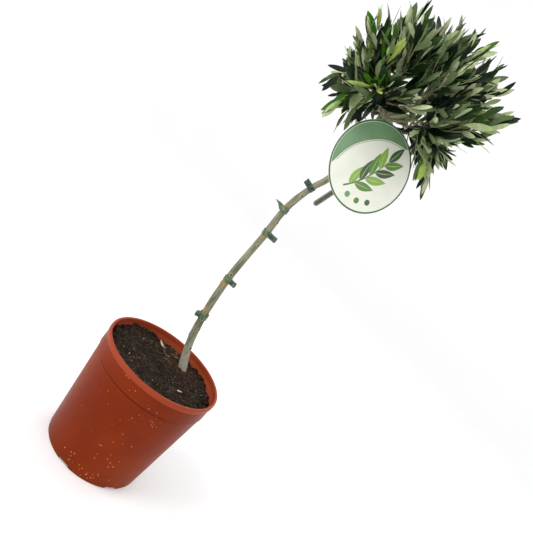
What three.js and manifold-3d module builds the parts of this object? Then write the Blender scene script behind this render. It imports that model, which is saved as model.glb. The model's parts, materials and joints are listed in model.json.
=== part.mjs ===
// A young standard olive tree in a round plastic nursery pot: one slender, crooked stem, a fork of short
// boughs and a round crown of upright leafy shoots, with a round plant tag strapped to the stem.
// Millimetres, +Z up. The origin is the centre of the pot's underside, and the pot stands on z = 0.
import * as THREE from "three";
import { mergeVertices } from "three/addons/utils/BufferGeometryUtils.js";
import Module from "manifold-3d";

const wasm = await Module();
wasm.setup();

// ---------------------------------------------------------------- driving sizes

const GAP = 0.3; // clearance between two neighbouring pieces
const POT_HEIGHT = 200;
const RIM_RADIUS = 105;
const BASE_RADIUS = 86;
const SOIL_DROP = 12; // from the top of the rim down to the soil
const SOIL_LEVEL = POT_HEIGHT - SOIL_DROP;
const FORK = new THREE.Vector3(16, 25, 718); // the top of the stem
const CROWN_CENTRE = new THREE.Vector3(21, 23, 775);
const CROWN_RADII = new THREE.Vector3(122, 116, 131);
const CROWN_LEAN = 0.17; // how far the upper half's middle moves to +X for each unit of height
const CROWN_SQUARENESS = 1.75; // the lower half is this much squarer than a ball
// One shoot grows out of the crown's round, in a space of its own "room" wide all round its line.
const LONG_SHOOT = {
  cell: "high_1",
  line: new THREE.Line3(new THREE.Vector3(95, 20, 762), new THREE.Vector3(157, 20, 813)),
  room: 20,
};
const LEAF_LENGTH = 48; // larger than life: each stands for a few
const LEAF_WIDTH = 17.5;
const TAG_RADIUS = 70.5;

const COLOURS = {
  plastic: { color: 0xa04a26, roughness: 0.45 },
  soil: { color: 0x2b221c, roughness: 1 },
  bark: { color: 0x8b8a74, roughness: 0.85 },
  leaf: { color: 0x4c5f45, roughness: 0.5 },
  tape: { color: 0x47624c, roughness: 0.4 },
  card: { color: 0xdfe2d4, roughness: 0.4 },
};
const materials = {};
for (const [name, look] of Object.entries(COLOURS)) {
  materials[name] = new THREE.MeshStandardMaterial({ metalness: 0, ...look });
}

// ---------------------------------------------------------------- helpers

const UP = new THREE.Vector3(0, 0, 1);
const LEAST_EDGE = 0.02; // shorter edges are closed up after a cut or join

/** The same stream of numbers from 0 to 1 for the same seed. */
function seeded(seed) {
  let state = seed;
  return () => {
    state = (state * 48271) % 2147483647;
    return state / 2147483647;
  };
}

/** A closed geometry as a solid that can be cut and joined. */
function solid(geometry) {
  const bare = geometry.clone();
  bare.deleteAttribute("normal");
  bare.deleteAttribute("uv");
  const merged = mergeVertices(bare, 1e-4);
  const vertProperties = new Float32Array(merged.getAttribute("position").array);
  const triVerts = new Uint32Array(merged.index.array);
  return new wasm.Manifold(new wasm.Mesh({ numProp: 3, vertProperties, triVerts }));
}

/** The largest body of a solid, with any sealed hollow filled and any loose scrap dropped. */
function mainBody(made) {
  const bodies = made.simplify(LEAST_EDGE).decompose();
  return bodies.reduce((largest, body) => (body.volume() > largest.volume() ? body : largest));
}

/** A solid as a geometry. */
function geometryOf(made) {
  const mesh = made.getMesh();
  const geometry = new THREE.BufferGeometry();
  geometry.setAttribute("position", new THREE.BufferAttribute(new Float32Array(mesh.vertProperties), 3));
  geometry.setIndex(new THREE.BufferAttribute(new Uint32Array(mesh.triVerts), 1));
  geometry.computeVertexNormals();
  return geometry;
}

/** A named mesh of one solid in one material. */
function piece(name, made, material) {
  const mesh = new THREE.Mesh(geometryOf(mainBody(made)), material);
  mesh.name = name;
  return mesh;
}

/** A round limb along a curve: a cylinder bent to it, with its own radius at each share of the length. */
function limb(curve, radiusAt, sides, segments) {
  const geometry = new THREE.CylinderGeometry(1, 1, 1, sides, segments);
  const frames = curve.computeFrenetFrames(segments, false);
  const position = geometry.getAttribute("position");
  for (let i = 0; i < position.count; i++) {
    const ring = Math.round((position.getY(i) + 0.5) * segments);
    const share = ring / segments;
    const point = curve
      .getPointAt(share)
      .addScaledVector(frames.normals[ring], position.getX(i) * radiusAt(share))
      .addScaledVector(frames.binormals[ring], -position.getZ(i) * radiusAt(share));
    position.setXYZ(i, point.x, point.y, point.z);
  }
  return solid(geometry);
}

/** A profile of [radius, height] points turned round the vertical axis. */
function turned(profile) {
  const points = profile.map(([radius, height]) => new THREE.Vector2(radius, height));
  return new THREE.LatheGeometry(points, ROUND_SIDES).rotateX(Math.PI / 2);
}

/** The direction at an azimuth from +X and an elevation above the ground, in degrees. */
function direction(azimuth, elevation) {
  return new THREE.Vector3().setFromSphericalCoords(
    1,
    THREE.MathUtils.degToRad(90 - elevation),
    THREE.MathUtils.degToRad(90 + azimuth),
  ).applyAxisAngle(new THREE.Vector3(1, 0, 0), Math.PI / 2);
}

const mix = THREE.MathUtils.lerp;

// ---------------------------------------------------------------- pot and soil

const ROUND_SIDES = 36;
const WALL = 2.5;
const COLLAR_DEPTH = 33; // the thicker band under the rim
const COLLAR_STEP = 1.1;
const LIP_DEPTH = 9;
const LIP_ROUND = 2.4;
const FLOOR_UNDER = 4.5; // the floor is raised between the foot ring and the middle pad
const FLOOR_TOP = 7.5;
const PAD_RADIUS = 30;
const FOOT_WIDTH = 3.4;
const FLOOR_FILLET = 4;
const NOTCHES = 6;
const NOTCH_WIDTH = 20;
const NOTCH_HEIGHT = 3.6;
const FIRST_NOTCH = -105; // degrees round from +X
const DRAIN_RADIUS = 4.5;
const DRAIN_CIRCLE = 60;

const COLLAR_LOW = POT_HEIGHT - COLLAR_DEPTH;
const LIP_LOW = POT_HEIGHT - LIP_DEPTH;
const COLLAR_RADIUS = RIM_RADIUS - 1.6;
const BODY_TOP_RADIUS = COLLAR_RADIUS - COLLAR_STEP;
const INNER_LOW_RADIUS = BASE_RADIUS - 1.1;
const INNER_COLLAR_RADIUS = BODY_TOP_RADIUS - WALL;
const INNER_TOP_RADIUS = RIM_RADIUS - 2 * LIP_ROUND + 0.4;

function potSolid() {
  const profile = [
    [0, 0],
    [PAD_RADIUS, 0],
    [PAD_RADIUS + 3, FLOOR_UNDER],
    [BASE_RADIUS - FOOT_WIDTH, FLOOR_UNDER],
    [BASE_RADIUS - FOOT_WIDTH + 0.6, 0],
    [BASE_RADIUS - 0.7, 0],
    [BASE_RADIUS, 0.9],
    [BODY_TOP_RADIUS, COLLAR_LOW],
    [COLLAR_RADIUS, COLLAR_LOW + 1],
    [COLLAR_RADIUS + 0.2, LIP_LOW],
    [RIM_RADIUS - 0.3, LIP_LOW + 0.8],
    [RIM_RADIUS, LIP_LOW + 2],
    [RIM_RADIUS, POT_HEIGHT - LIP_ROUND],
    [RIM_RADIUS - 0.7, POT_HEIGHT - 0.7],
    [RIM_RADIUS - LIP_ROUND, POT_HEIGHT],
    [RIM_RADIUS - 2 * LIP_ROUND + 0.7, POT_HEIGHT - 0.7],
    [INNER_TOP_RADIUS - 0.3, POT_HEIGHT - LIP_ROUND],
    [INNER_TOP_RADIUS, LIP_LOW],
    [INNER_COLLAR_RADIUS, COLLAR_LOW],
    [INNER_LOW_RADIUS, FLOOR_TOP + FLOOR_FILLET],
    [INNER_LOW_RADIUS - FLOOR_FILLET, FLOOR_TOP],
    [0, FLOOR_TOP],
  ];
  const cuts = [];
  for (let i = 0; i < NOTCHES; i++) {
    const turn = THREE.MathUtils.degToRad(FIRST_NOTCH + (i * 360) / NOTCHES);
    const notch = new THREE.BoxGeometry(12, NOTCH_WIDTH, 2 * NOTCH_HEIGHT).translate(BASE_RADIUS, 0, 0);
    const drain = new THREE.CylinderGeometry(DRAIN_RADIUS, DRAIN_RADIUS, 20, 8)
      .rotateX(Math.PI / 2)
      .translate(DRAIN_CIRCLE, 0, 0);
    cuts.push(solid(notch.rotateZ(turn)), solid(drain.rotateZ(turn)));
  }
  return solid(turned(profile)).subtract(wasm.Manifold.union(cuts));
}

const FOOT = new THREE.Vector2(28, 46); // where the stem leaves the soil
const FLAT_ROUND_STEM = 28; // the soil is level this far from the stem
const SOIL_BUMP = 2.6;
const SOIL_RINGS = 4;

/** The height of the soil's top at a point. */
function soilHeight(x, y) {
  const fromStem = Math.hypot(x - FOOT.x, y - FOOT.y);
  const away = THREE.MathUtils.smoothstep(fromStem, FLAT_ROUND_STEM, 2.2 * FLAT_ROUND_STEM);
  const bumps = Math.sin(x / 11 + 1.3) * Math.cos(y / 13) + 0.6 * Math.sin((x + 2 * y) / 17);
  return SOIL_LEVEL - GAP + away * SOIL_BUMP * (bumps - 0.5);
}

function soilSolid() {
  const edge = INNER_TOP_RADIUS - GAP - 0.25;
  const profile = [
    [0, FLOOR_TOP + GAP],
    [INNER_LOW_RADIUS - FLOOR_FILLET - GAP, FLOOR_TOP + GAP],
    [INNER_LOW_RADIUS - GAP, FLOOR_TOP + FLOOR_FILLET + GAP],
    [INNER_COLLAR_RADIUS - GAP, COLLAR_LOW],
  ];
  for (let i = SOIL_RINGS; i >= 0; i--) profile.push([(edge * i) / SOIL_RINGS, SOIL_LEVEL]);
  const geometry = turned(profile);
  const position = geometry.getAttribute("position");
  for (let i = 0; i < position.count; i++) {
    if (position.getZ(i) > COLLAR_LOW + 1) {
      position.setZ(i, soilHeight(position.getX(i), position.getY(i)));
    }
  }
  return solid(geometry);
}

// ---------------------------------------------------------------- stem

const STEM_RADIUS = 6.1;
const STEM_TOP_RADIUS = 4.3;
const FLARE = 2.1; // how much wider the stem is at the soil
const FLARE_FADE = 0.045; // share of the stem's length over which the flare fades
const STEM_SIDES = 10;
const STEM_SEGMENTS = 24;
// The bends of the stem as [x, height over the soil]: it leans in from one side, stands up, and swings back.
const STEM_BENDS = [
  [41, -22], [28, 0], [8, 51], [-4, 115], [-9.5, 180], [-9, 265], [-10, 322], [0, 371], [11, 400], [16, 460],
];
const STEM_LEAN = (FORK.y - FOOT.y) / (FORK.z - SOIL_LEVEL);

const stemCurve = new THREE.CatmullRomCurve3([
  ...STEM_BENDS.map(([x, height]) => new THREE.Vector3(x, FOOT.y + STEM_LEAN * height, SOIL_LEVEL + height)),
  FORK,
]);

/** The stem's radius at a share of its length, with slight swellings where old twigs were. */
function stemRadius(share) {
  const swelling = 0.25 * Math.sin(share * 37) * Math.sin(share * 14 + 1);
  return mix(STEM_RADIUS, STEM_TOP_RADIUS, share) + FLARE * Math.exp(-share / FLARE_FADE) + swelling;
}

/** The stem with a little added to its radius: 0 for the stem itself. */
function stemSolid(added) {
  const whole = limb(stemCurve, (share) => stemRadius(share) + added, STEM_SIDES, STEM_SEGMENTS);
  return whole.trimByPlane([0, 0, 1], SOIL_LEVEL - added);
}

// ---------------------------------------------------------------- crown: cells and boughs

// Each mass of foliage keeps to its own cell: the space that lies nearer to its own direction from the fork
// than to any other. It grows on one bough, which leaves the stem "start" below the fork and ends "length"
// away from it, at the elevation "rise".
const LOW = { elevation: -3, rise: 14, length: 34, start: 12 };
const HIGH = { elevation: 42, rise: 46, length: 38, start: 3 };
const TOP = { elevation: 90, rise: 84, length: 36, start: 0 };
const CELLS = [
  ...[-20, 42, 96, 146, 192, 236].map((azimuth, i) => ({ name: `low_${i + 1}`, azimuth, ...LOW })),
  ...[2, 58, 118, 178, 240, 304].map((azimuth, i) => ({ name: `high_${i + 1}`, azimuth, ...HIGH })),
  { name: "top", azimuth: 10, ...TOP },
];
const BOUGH_RADIUS = 3;
const BOUGH_TIP_RADIUS = 1.9;

/** Whether a point is in the crown: a ball, leaning above and squarer below its middle, and one shoot. */
function inCrown(point) {
  const onShoot = LONG_SHOOT.line.closestPointToPoint(point, true, new THREE.Vector3());
  if (onShoot.distanceTo(point) < LONG_SHOOT.room) return true;
  const p = point.clone().sub(CROWN_CENTRE);
  p.x -= CROWN_LEAN * Math.max(p.z, 0);
  p.divide(CROWN_RADII);
  const [aside, height] = [p.x ** 2 + p.y ** 2, p.z ** 2];
  const power = p.z > 0 ? 1 : CROWN_SQUARENESS;
  return aside ** power + height ** power < 1;
}

/** How far the crown reaches from the fork in a direction. */
function reach(d) {
  let [near, far] = [0, 2 * CROWN_RADII.z];
  while (far - near > 0.5) {
    const middle = (near + far) / 2;
    if (inCrown(FORK.clone().addScaledVector(d, middle))) near = middle;
    else far = middle;
  }
  return near;
}

/** A bough's curve: out of the stem, then bending up. */
function boughCurve(cell) {
  const out = direction(cell.azimuth, cell.rise);
  const start = FORK.clone().addScaledVector(UP, -cell.start);
  const end = FORK.clone().addScaledVector(out, cell.length);
  const flat = new THREE.Vector3(out.x, out.y, 0);
  const middle = start.clone().lerp(end, 0.5).addScaledVector(flat, 5).addScaledVector(UP, -3);
  return new THREE.QuadraticBezierCurve3(start, middle, end);
}

const BOUGH_SIDES = 6;
const BOUGH_SEGMENTS = 3;
const boughRadius = (share) => mix(BOUGH_RADIUS, BOUGH_TIP_RADIUS, share);

for (const cell of CELLS) {
  cell.axis = direction(cell.azimuth, cell.elevation);
  cell.bough = boughCurve(cell);
}

/** Whether all of the points lie in a cell: inside the crown, and clear of the cells round this one. */
function inCell(cell, points) {
  return points.every(inCrown) && CELLS.every((other) => {
    if (other === cell) return true;
    const outward = other.axis.clone().sub(cell.axis).normalize();
    return points.every((p) => p.clone().sub(FORK).dot(outward) < -GAP);
  });
}

// ---------------------------------------------------------------- plant tag

const TAG_THICKNESS = 1.2;
const TAG_CENTRE = new THREE.Vector3(48, 20, 639);
const TAG_FACING = direction(25.6 - 90, 11.5); // the way its printed side looks
const SLEEVE_EASE = 0.15; // for the bend of the stem inside a sleeve
const STRAP_WIDTH = 8.5;
const STRAP_THICKNESS = 1.2;
const STRAP_LEAN = 0.41; // radians from the tag's own upright
const STRAP_LENGTH = 100; // from the tag's middle to the rounded free end
const STRAP_HEIGHT = 643; // where it goes round the stem
const TAG_SIGHT = 0.8; // share of the tag's radius that nothing grows in front of

/** Local X to the tag's right, Y away from its printed side, Z up its face. */
function tagPlace() {
  const right = new THREE.Vector3().crossVectors(UP, TAG_FACING).normalize();
  const upward = new THREE.Vector3().crossVectors(TAG_FACING, right).normalize();
  return new THREE.Matrix4().makeBasis(right, TAG_FACING.clone().negate(), upward).setPosition(TAG_CENTRE);
}

/** The share of the stem's length at which it reaches a height. */
function stemShareAt(height) {
  let [low, high] = [0, 1];
  while (high - low > 1e-4) {
    const middle = (low + high) / 2;
    if (stemCurve.getPointAt(middle).z < height) low = middle;
    else high = middle;
  }
  return low;
}

/** A snug sleeve round the stem: its outside as one solid, and the room the stem needs in it as another. */
function sleeveRoundStem(height, width, thickness) {
  const at = (offset) => stemCurve.getPointAt(stemShareAt(height + offset));
  const radius = (stemRadius(stemShareAt(height)) + GAP) / Math.cos(Math.PI / STEM_SIDES) + SLEEVE_EASE;
  const straight = (half, r) => limb(new THREE.LineCurve3(at(-half), at(half)), () => r, STEM_SIDES, 1);
  return { outer: straight(width / 2, radius + thickness), room: straight(width, radius) };
}

/** A disc with a strap on its back: the strap's one end runs round the stem, the other hangs free. */
function tagSolid() {
  const disc = new THREE.CylinderGeometry(TAG_RADIUS, TAG_RADIUS, TAG_THICKNESS, ROUND_SIDES);
  const half = STRAP_WIDTH / 2;
  const outline = new THREE.Shape().moveTo(-half, 0).lineTo(-half, -STRAP_LENGTH);
  outline.absarc(0, -STRAP_LENGTH, half, Math.PI, 2 * Math.PI).lineTo(half, 0).closePath();
  const flat = { depth: STRAP_THICKNESS, bevelEnabled: false, curveSegments: 6 };
  const strap = new THREE.ExtrudeGeometry(outline, flat)
    .rotateX(Math.PI / 2)
    .rotateY(STRAP_LEAN)
    .translate(0, TAG_THICKNESS / 2 + STRAP_THICKNESS - 0.1, 0);
  const share = stemShareAt(STRAP_HEIGHT);
  const onStem = stemCurve.getPointAt(share);
  const toDisc = onStem.clone().sub(TAG_CENTRE).dot(TAG_FACING) / TAG_FACING.y; // straight to the front
  const flap = new THREE.BoxGeometry(2 * STRAP_THICKNESS, toDisc - stemRadius(share), STRAP_WIDTH)
    .translate(onStem.x, onStem.y - (toDisc + stemRadius(share)) / 2, onStem.z);
  const { outer, room } = sleeveRoundStem(STRAP_HEIGHT, STRAP_WIDTH, STRAP_THICKNESS);
  return wasm.Manifold.union([
    solid(disc.applyMatrix4(tagPlace())),
    solid(strap.applyMatrix4(tagPlace())),
    solid(flap),
    outer,
  ]).subtract(room);
}

/** The tag with a clearance all round it. */
function tagClearance() {
  const radius = TAG_RADIUS + GAP;
  const depth = TAG_THICKNESS + 2 * (STRAP_THICKNESS + GAP);
  const disc = new THREE.CylinderGeometry(radius, radius, depth, ROUND_SIDES);
  const sleeve = sleeveRoundStem(STRAP_HEIGHT, 2 * STRAP_WIDTH, STRAP_THICKNESS + 2);
  return solid(disc.applyMatrix4(tagPlace())).add(sleeve.outer);
}

/** Whether a point stands in front of the tag. */
function hidesTag(point) {
  const fromTag = point.clone().sub(TAG_CENTRE);
  return fromTag.dot(TAG_FACING) > 0 && Math.hypot(fromTag.x, fromTag.z) < TAG_SIGHT * TAG_RADIUS;
}

// ---------------------------------------------------------------- foliage

const TWIG_SIDES = 3;
const TWIG_SEGMENTS = 3;
const LEADER_RADIUS = 1.9;
const SHOOT_RADIUS = 1.6;
const SHOOT_TIP_RADIUS = 0.95;
const LEAF_ROOT_DEPTH = 0.4; // past the middle of the twig
const LEAF_RIDGE = 6; // from the twig to where a leaf is thickest
const LEAF_THICKNESS = 1.8;
const LEAF_WIDEST = 0.46;
const PAIR_STEP = 27; // along a shoot, from one pair of leaves to the next
const PAIR_STAGGER = 1; // half the step between the two leaves of a pair
const FIRST_PAIR = 0.2; // the bare share at the foot of a shoot
const LEAF_TRIES = 7; // a leaf that doesn't fit grows another way, and after these not at all
const LEAF_ANGLE = 0.52; // radians from the shoot
const LEAF_LIFT = 0.3; // how much every leaf turns up
const SHOOT_SAG = 0.17; // share of its length by which a shoot's middle hangs under a straight line
const SHOOTS_IN_CELL = 5;
const SHOOT_SPREAD = 0.42; // radians from the cell's axis
const SHORTEST_SHOOT = 0.66; // share of the crown's reach at which a shoot ends
const LONGEST_SHOOT = 0.76;
const GOLDEN_ANGLE = 2.399963;
const CROWN_SEED = 4057;

/** The six corners of a thin kite-shaped leaf, keyed by the corner of the octahedron they come from. */
function leafCorners(root, along, side, length, width) {
  const above = new THREE.Vector3().crossVectors(along, side);
  const at = (l, s, a) =>
    root.clone().addScaledVector(along, l).addScaledVector(side, s).addScaledVector(above, a);
  return {
    "+x": at(length, 0, 0),
    "-x": at(-LEAF_ROOT_DEPTH, 0, 0),
    "+y": at(length * LEAF_WIDEST, width / 2, 0),
    "-y": at(length * LEAF_WIDEST, -width / 2, 0),
    "+z": at(LEAF_RIDGE, 0, LEAF_THICKNESS / 2),
    "-z": at(LEAF_RIDGE, 0, -LEAF_THICKNESS / 2),
  };
}

/** The leaf of 8 faces with those corners. */
function leafSolid(corners) {
  const geometry = new THREE.OctahedronGeometry(1, 0);
  const position = geometry.getAttribute("position");
  for (let i = 0; i < position.count; i++) {
    const parts = [position.getX(i), position.getY(i), position.getZ(i)];
    const axis = parts.findIndex((part) => Math.abs(part) > 0.5);
    const corner = corners[(parts[axis] > 0 ? "+" : "-") + "xyz"[axis]];
    position.setXYZ(i, corner.x, corner.y, corner.z);
  }
  return solid(geometry);
}

/** A direction across an axis, turned round it by an angle. */
function across(axis, angle) {
  const base = Math.abs(axis.z) < 0.95 ? UP : new THREE.Vector3(1, 0, 0);
  return new THREE.Vector3().crossVectors(axis, base).normalize().applyAxisAngle(axis, angle);
}

/** A shoot from a point to its tip: it sets off flatter and bends up. */
function shootCurve(from, tip) {
  const middle = from.clone().lerp(tip, 0.5).addScaledVector(UP, -SHOOT_SAG * from.distanceTo(tip));
  return new THREE.QuadraticBezierCurve3(from, middle, tip);
}

/**
 * The places of the leaves along a shoot, each as the share of its length and the turn round it:
 * near-opposite pairs, each turned a quarter from the last, and one leaf at the tip.
 */
function leafPlaces(shoot, random) {
  const length = shoot.getLength();
  const pairs = Math.max(2, Math.round(length / PAIR_STEP));
  const turn = random() * Math.PI;
  const places = [];
  for (let pair = 0; pair < pairs; pair++) {
    const share = mix(FIRST_PAIR, 0.95, (pair + 0.5) / pairs);
    for (const half of [-1, 1]) {
      const offset = (half * PAIR_STAGGER) / length;
      places.push({ share: share + offset, turn: turn + (pair + half) * (Math.PI / 2) });
    }
  }
  places.push({ share: 0.985, turn, last: true });
  return places;
}

/** One leaf at its place on a shoot, as its corners, with its own turn, angle and size. */
function leafAt(shoot, { share, turn, last }, attempt, random) {
  const root = shoot.getPointAt(share);
  const tangent = shoot.getTangentAt(share);
  const outward = across(tangent, turn + (random() - 0.5) * 0.8);
  const angle = last ? 0.1 * random() : LEAF_ANGLE * (0.7 + 0.6 * random());
  const size = (1 - 0.07 * attempt) * (0.9 + 0.2 * random());
  const along = tangent.clone().multiplyScalar(Math.cos(angle)).addScaledVector(outward, Math.sin(angle));
  along.addScaledVector(UP, LEAF_LIFT).normalize();
  const flatWay = new THREE.Vector3().crossVectors(tangent, outward);
  const side = flatWay.addScaledVector(along, -flatWay.dot(along)).normalize();
  return leafCorners(root, along, side, LEAF_LENGTH * size, LEAF_WIDTH * size);
}

/** The curves of a cell's shoots. The first carries on from the bough; the others leave it and spread. */
function shootsOf(cell, random) {
  const heading = cell.bough.getTangentAt(1);
  const start = cell.bough.getPointAt(1).addScaledVector(heading, GAP);
  const end = FORK.clone().addScaledVector(cell.axis, reach(cell.axis) * LONGEST_SHOOT);
  const middle = start.clone().addScaledVector(heading, 0.45 * start.distanceTo(end));
  const leader = new THREE.QuadraticBezierCurve3(start, middle, end);
  const shoots = [leader];
  for (let i = 0; i < SHOOTS_IN_CELL; i++) {
    const away = SHOOT_SPREAD * Math.sqrt((i + 0.5) / SHOOTS_IN_CELL);
    const outward = across(cell.axis, i * GOLDEN_ANGLE + random());
    const d = cell.axis.clone().multiplyScalar(Math.cos(away)).addScaledVector(outward, Math.sin(away));
    const tip = FORK.clone().addScaledVector(d, reach(d) * mix(SHORTEST_SHOOT, LONGEST_SHOOT, random()));
    shoots.push(shootCurve(leader.getPointAt(mix(0.06, 0.4, i / SHOOTS_IN_CELL)), tip));
  }
  if (cell.name === LONG_SHOOT.cell) shoots.push(shootCurve(leader.getPointAt(0.5), LONG_SHOOT.line.end));
  return shoots;
}

/** Whether two solids share any space. */
const touches = (one, other) => one.intersect(other).volume() > 0;

/** One mass of foliage: shoots and leaves fused, without those that leave its space or touch "others". */
function foliage(cell, index, others) {
  const random = seeded(CROWN_SEED + 97 * index);
  const fits = (points, made) => inCell(cell, points) && !points.some(hidesTag) && !touches(others, made);
  const twigs = shootsOf(cell, random).map((shoot, i) => {
    const radiusAt = (share) => mix(i === 0 ? LEADER_RADIUS : SHOOT_RADIUS, SHOOT_TIP_RADIUS, share);
    return { shoot, made: limb(shoot, radiusAt, TWIG_SIDES, TWIG_SEGMENTS) };
  });
  const kept = twigs.filter(({ shoot, made }, i) => i === 0 || fits(shoot.getSpacedPoints(6), made));
  const leaves = [];
  for (const { shoot, made } of kept) {
    const rest = kept.filter((twig) => twig.made !== made).map((twig) => twig.made);
    for (const place of leafPlaces(shoot, random)) {
      for (let attempt = 0; attempt < LEAF_TRIES; attempt++) {
        const corners = leafAt(shoot, place, attempt, random);
        const leaf = leafSolid(corners);
        const free = fits(Object.values(corners), leaf);
        if (free && ![...rest, ...leaves].some((near) => touches(near, leaf))) {
          leaves.push(leaf);
          break;
        }
      }
    }
  }
  return wasm.Manifold.union([...kept.map((twig) => twig.made), ...leaves]);
}

// ---------------------------------------------------------------- ties

const TAPE_WIDTH = 9;
const TAPE_THICKNESS = 1;
const TAIL_WIDTH = 8;
const TAIL_THICKNESS = 1.6;
// Each tie as [height, azimuth of its loose tail, length of the tail].
const TIES = [[286, 205, 6], [360, -12, 10], [460, -14, 14], [506, 165, 11], [558, 150, 9]];

function tieSolid([height, azimuth, tailLength]) {
  const share = stemShareAt(height);
  const centre = stemCurve.getPointAt(share);
  const tail = new THREE.BoxGeometry(tailLength + 2, TAIL_THICKNESS, TAIL_WIDTH)
    .translate(stemRadius(share) + 2 * GAP + tailLength / 2, 0, 0)
    .rotateZ(THREE.MathUtils.degToRad(azimuth))
    .translate(centre.x, centre.y, centre.z);
  const { outer, room } = sleeveRoundStem(height, TAPE_WIDTH, TAPE_THICKNESS);
  return outer.add(solid(tail)).subtract(room);
}

// ---------------------------------------------------------------- assembly

const olive = new THREE.Group();
olive.add(piece("pot", potSolid(), materials.plastic));
olive.add(piece("soil", soilSolid(), materials.soil));
olive.add(piece("trunk", stemSolid(0), materials.bark));
olive.add(piece("tag", tagSolid(), materials.card));

// Each bough starts clear of the stem and of the boughs before it.
let limbs = stemSolid(GAP);
for (const cell of CELLS) {
  const bough = limb(cell.bough, boughRadius, BOUGH_SIDES, BOUGH_SEGMENTS).subtract(limbs);
  olive.add(piece(`bough_${cell.name}`, bough, materials.bark));
  limbs = limbs.add(limb(cell.bough, (share) => boughRadius(share) + GAP, BOUGH_SIDES, BOUGH_SEGMENTS));
}

const others = limbs.add(tagClearance());
CELLS.forEach((cell, index) => {
  olive.add(piece(`foliage_${cell.name}`, foliage(cell, index, others), materials.leaf));
});
TIES.forEach((tie, index) => {
  olive.add(piece(`tie_${index + 1}`, tieSolid(tie), materials.tape));
});

export default olive;
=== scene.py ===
"""A young standard olive tree in a round plastic nursery pot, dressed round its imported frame.

Shapes are worked out in millimetres in the frame's own axes, and every mesh is written in metres.
The pot stands on z = 0, and the printed side of the plant tag looks to the front, along -Y.
"""

import json
import logging
import math
import random
from collections.abc import Callable, Iterable
from dataclasses import dataclass, field
from enum import Enum

import bmesh
import bpy
from mathutils import Matrix, Vector, noise

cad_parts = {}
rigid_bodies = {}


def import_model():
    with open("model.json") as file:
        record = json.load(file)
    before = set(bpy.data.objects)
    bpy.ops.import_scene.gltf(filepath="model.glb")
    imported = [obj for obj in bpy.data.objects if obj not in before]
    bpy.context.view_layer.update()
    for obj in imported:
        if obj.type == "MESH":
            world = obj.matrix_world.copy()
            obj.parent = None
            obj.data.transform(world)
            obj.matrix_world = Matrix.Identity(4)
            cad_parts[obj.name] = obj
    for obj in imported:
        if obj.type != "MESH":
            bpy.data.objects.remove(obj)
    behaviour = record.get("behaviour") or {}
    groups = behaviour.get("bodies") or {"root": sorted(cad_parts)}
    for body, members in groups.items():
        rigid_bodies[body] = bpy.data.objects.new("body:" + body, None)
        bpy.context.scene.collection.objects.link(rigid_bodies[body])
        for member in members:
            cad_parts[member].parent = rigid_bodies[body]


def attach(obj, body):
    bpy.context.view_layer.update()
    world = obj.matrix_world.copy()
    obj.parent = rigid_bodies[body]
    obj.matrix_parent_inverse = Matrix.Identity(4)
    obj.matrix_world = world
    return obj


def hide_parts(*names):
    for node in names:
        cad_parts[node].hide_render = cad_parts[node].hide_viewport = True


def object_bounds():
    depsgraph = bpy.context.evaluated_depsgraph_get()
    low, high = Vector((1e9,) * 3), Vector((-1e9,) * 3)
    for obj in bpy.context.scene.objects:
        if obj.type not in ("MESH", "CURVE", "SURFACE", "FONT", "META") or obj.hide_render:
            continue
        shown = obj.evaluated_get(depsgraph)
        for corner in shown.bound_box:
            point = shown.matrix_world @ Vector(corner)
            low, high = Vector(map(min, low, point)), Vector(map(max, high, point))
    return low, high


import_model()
cad_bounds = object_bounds()

log = logging.getLogger("olive")

MM = 0.001
UP = Vector((0, 0, 1))
BODY = "root"

Thing = bpy.types.Object
Material = bpy.types.Material
Collection = bpy.types.Collection
Socket = bpy.types.NodeSocket
Pair = tuple[float, float]
Triple = tuple[float, float, float]
Colour = tuple[float, float, float, float]

# ---------------------------------------- driving sizes

GAP = 0.3
POT_HEIGHT = 200.0
RIM_RADIUS = 105.0
BASE_RADIUS = 86.0
SOIL_LEVEL = 188.0
FOOT = Vector((28, 46))
FORK = Vector((16, 25, 718))
STEM_LEAN = (FORK.y - FOOT.y) / (FORK.z - SOIL_LEVEL)
TAG_CENTRE = Vector((48, 20, 639))
TAG_RADIUS = 70.5
BOX_MARGIN = 4.0


# ---------------------------------------- small helpers


def mix(low: float, high: float, share: float) -> float:
    """The number at a share of the way from low to high."""
    return low + (high - low) * share


def smooth(value: float, low: float, high: float) -> float:
    """0 up to low, 1 from high on, and a smooth step between them."""
    share = min(1.0, max(0.0, (value - low) / (high - low)))
    return share * share * (3 - 2 * share)


def direction(azimuth: float, elevation: float) -> Vector:
    """The direction at an azimuth from +X and an elevation above the ground, in degrees.

    Args:
        azimuth: degrees round from +X.
        elevation: degrees above the ground.

    Returns:
        The direction, 1 long.
    """
    round_z, above = math.radians(azimuth), math.radians(elevation)
    flat = math.cos(above)
    return Vector((flat * math.cos(round_z), flat * math.sin(round_z), math.sin(above)))


def paint(red: int, green: int, blue: int) -> Colour:
    """A colour given as it looks on a screen, 0 to 255, as Blender's linear colour.

    Args:
        red: how red it is.
        green: how green.
        blue: how blue.

    Returns:
        The colour.
    """
    linear = []
    for level in (red, green, blue):
        share = level / 255
        linear.append(share / 12.92 if share <= 0.04045 else ((share + 0.055) / 1.055) ** 2.4)
    return (*linear, 1.0)


def seeded(seed: int) -> Callable[[], float]:
    """The same stream of numbers from 0 to 1 for the same seed, as the part's source draws them.

    Args:
        seed: the seed.

    Returns:
        The function that draws the next number.
    """
    state = seed

    def draw() -> float:
        """The next number.

        Returns:
            The number.
        """
        nonlocal state
        state = (state * 48271) % 2147483647
        return state / 2147483647

    return draw


def circle(radius: float, count: int, x: float = 0.0, y: float = 0.0) -> list[Pair]:
    """The corners of a regular polygon, as (x, y) pairs, round a middle."""
    turns = [math.tau * i / count for i in range(count)]
    return [(x + radius * math.cos(a), y + radius * math.sin(a)) for a in turns]


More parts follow.
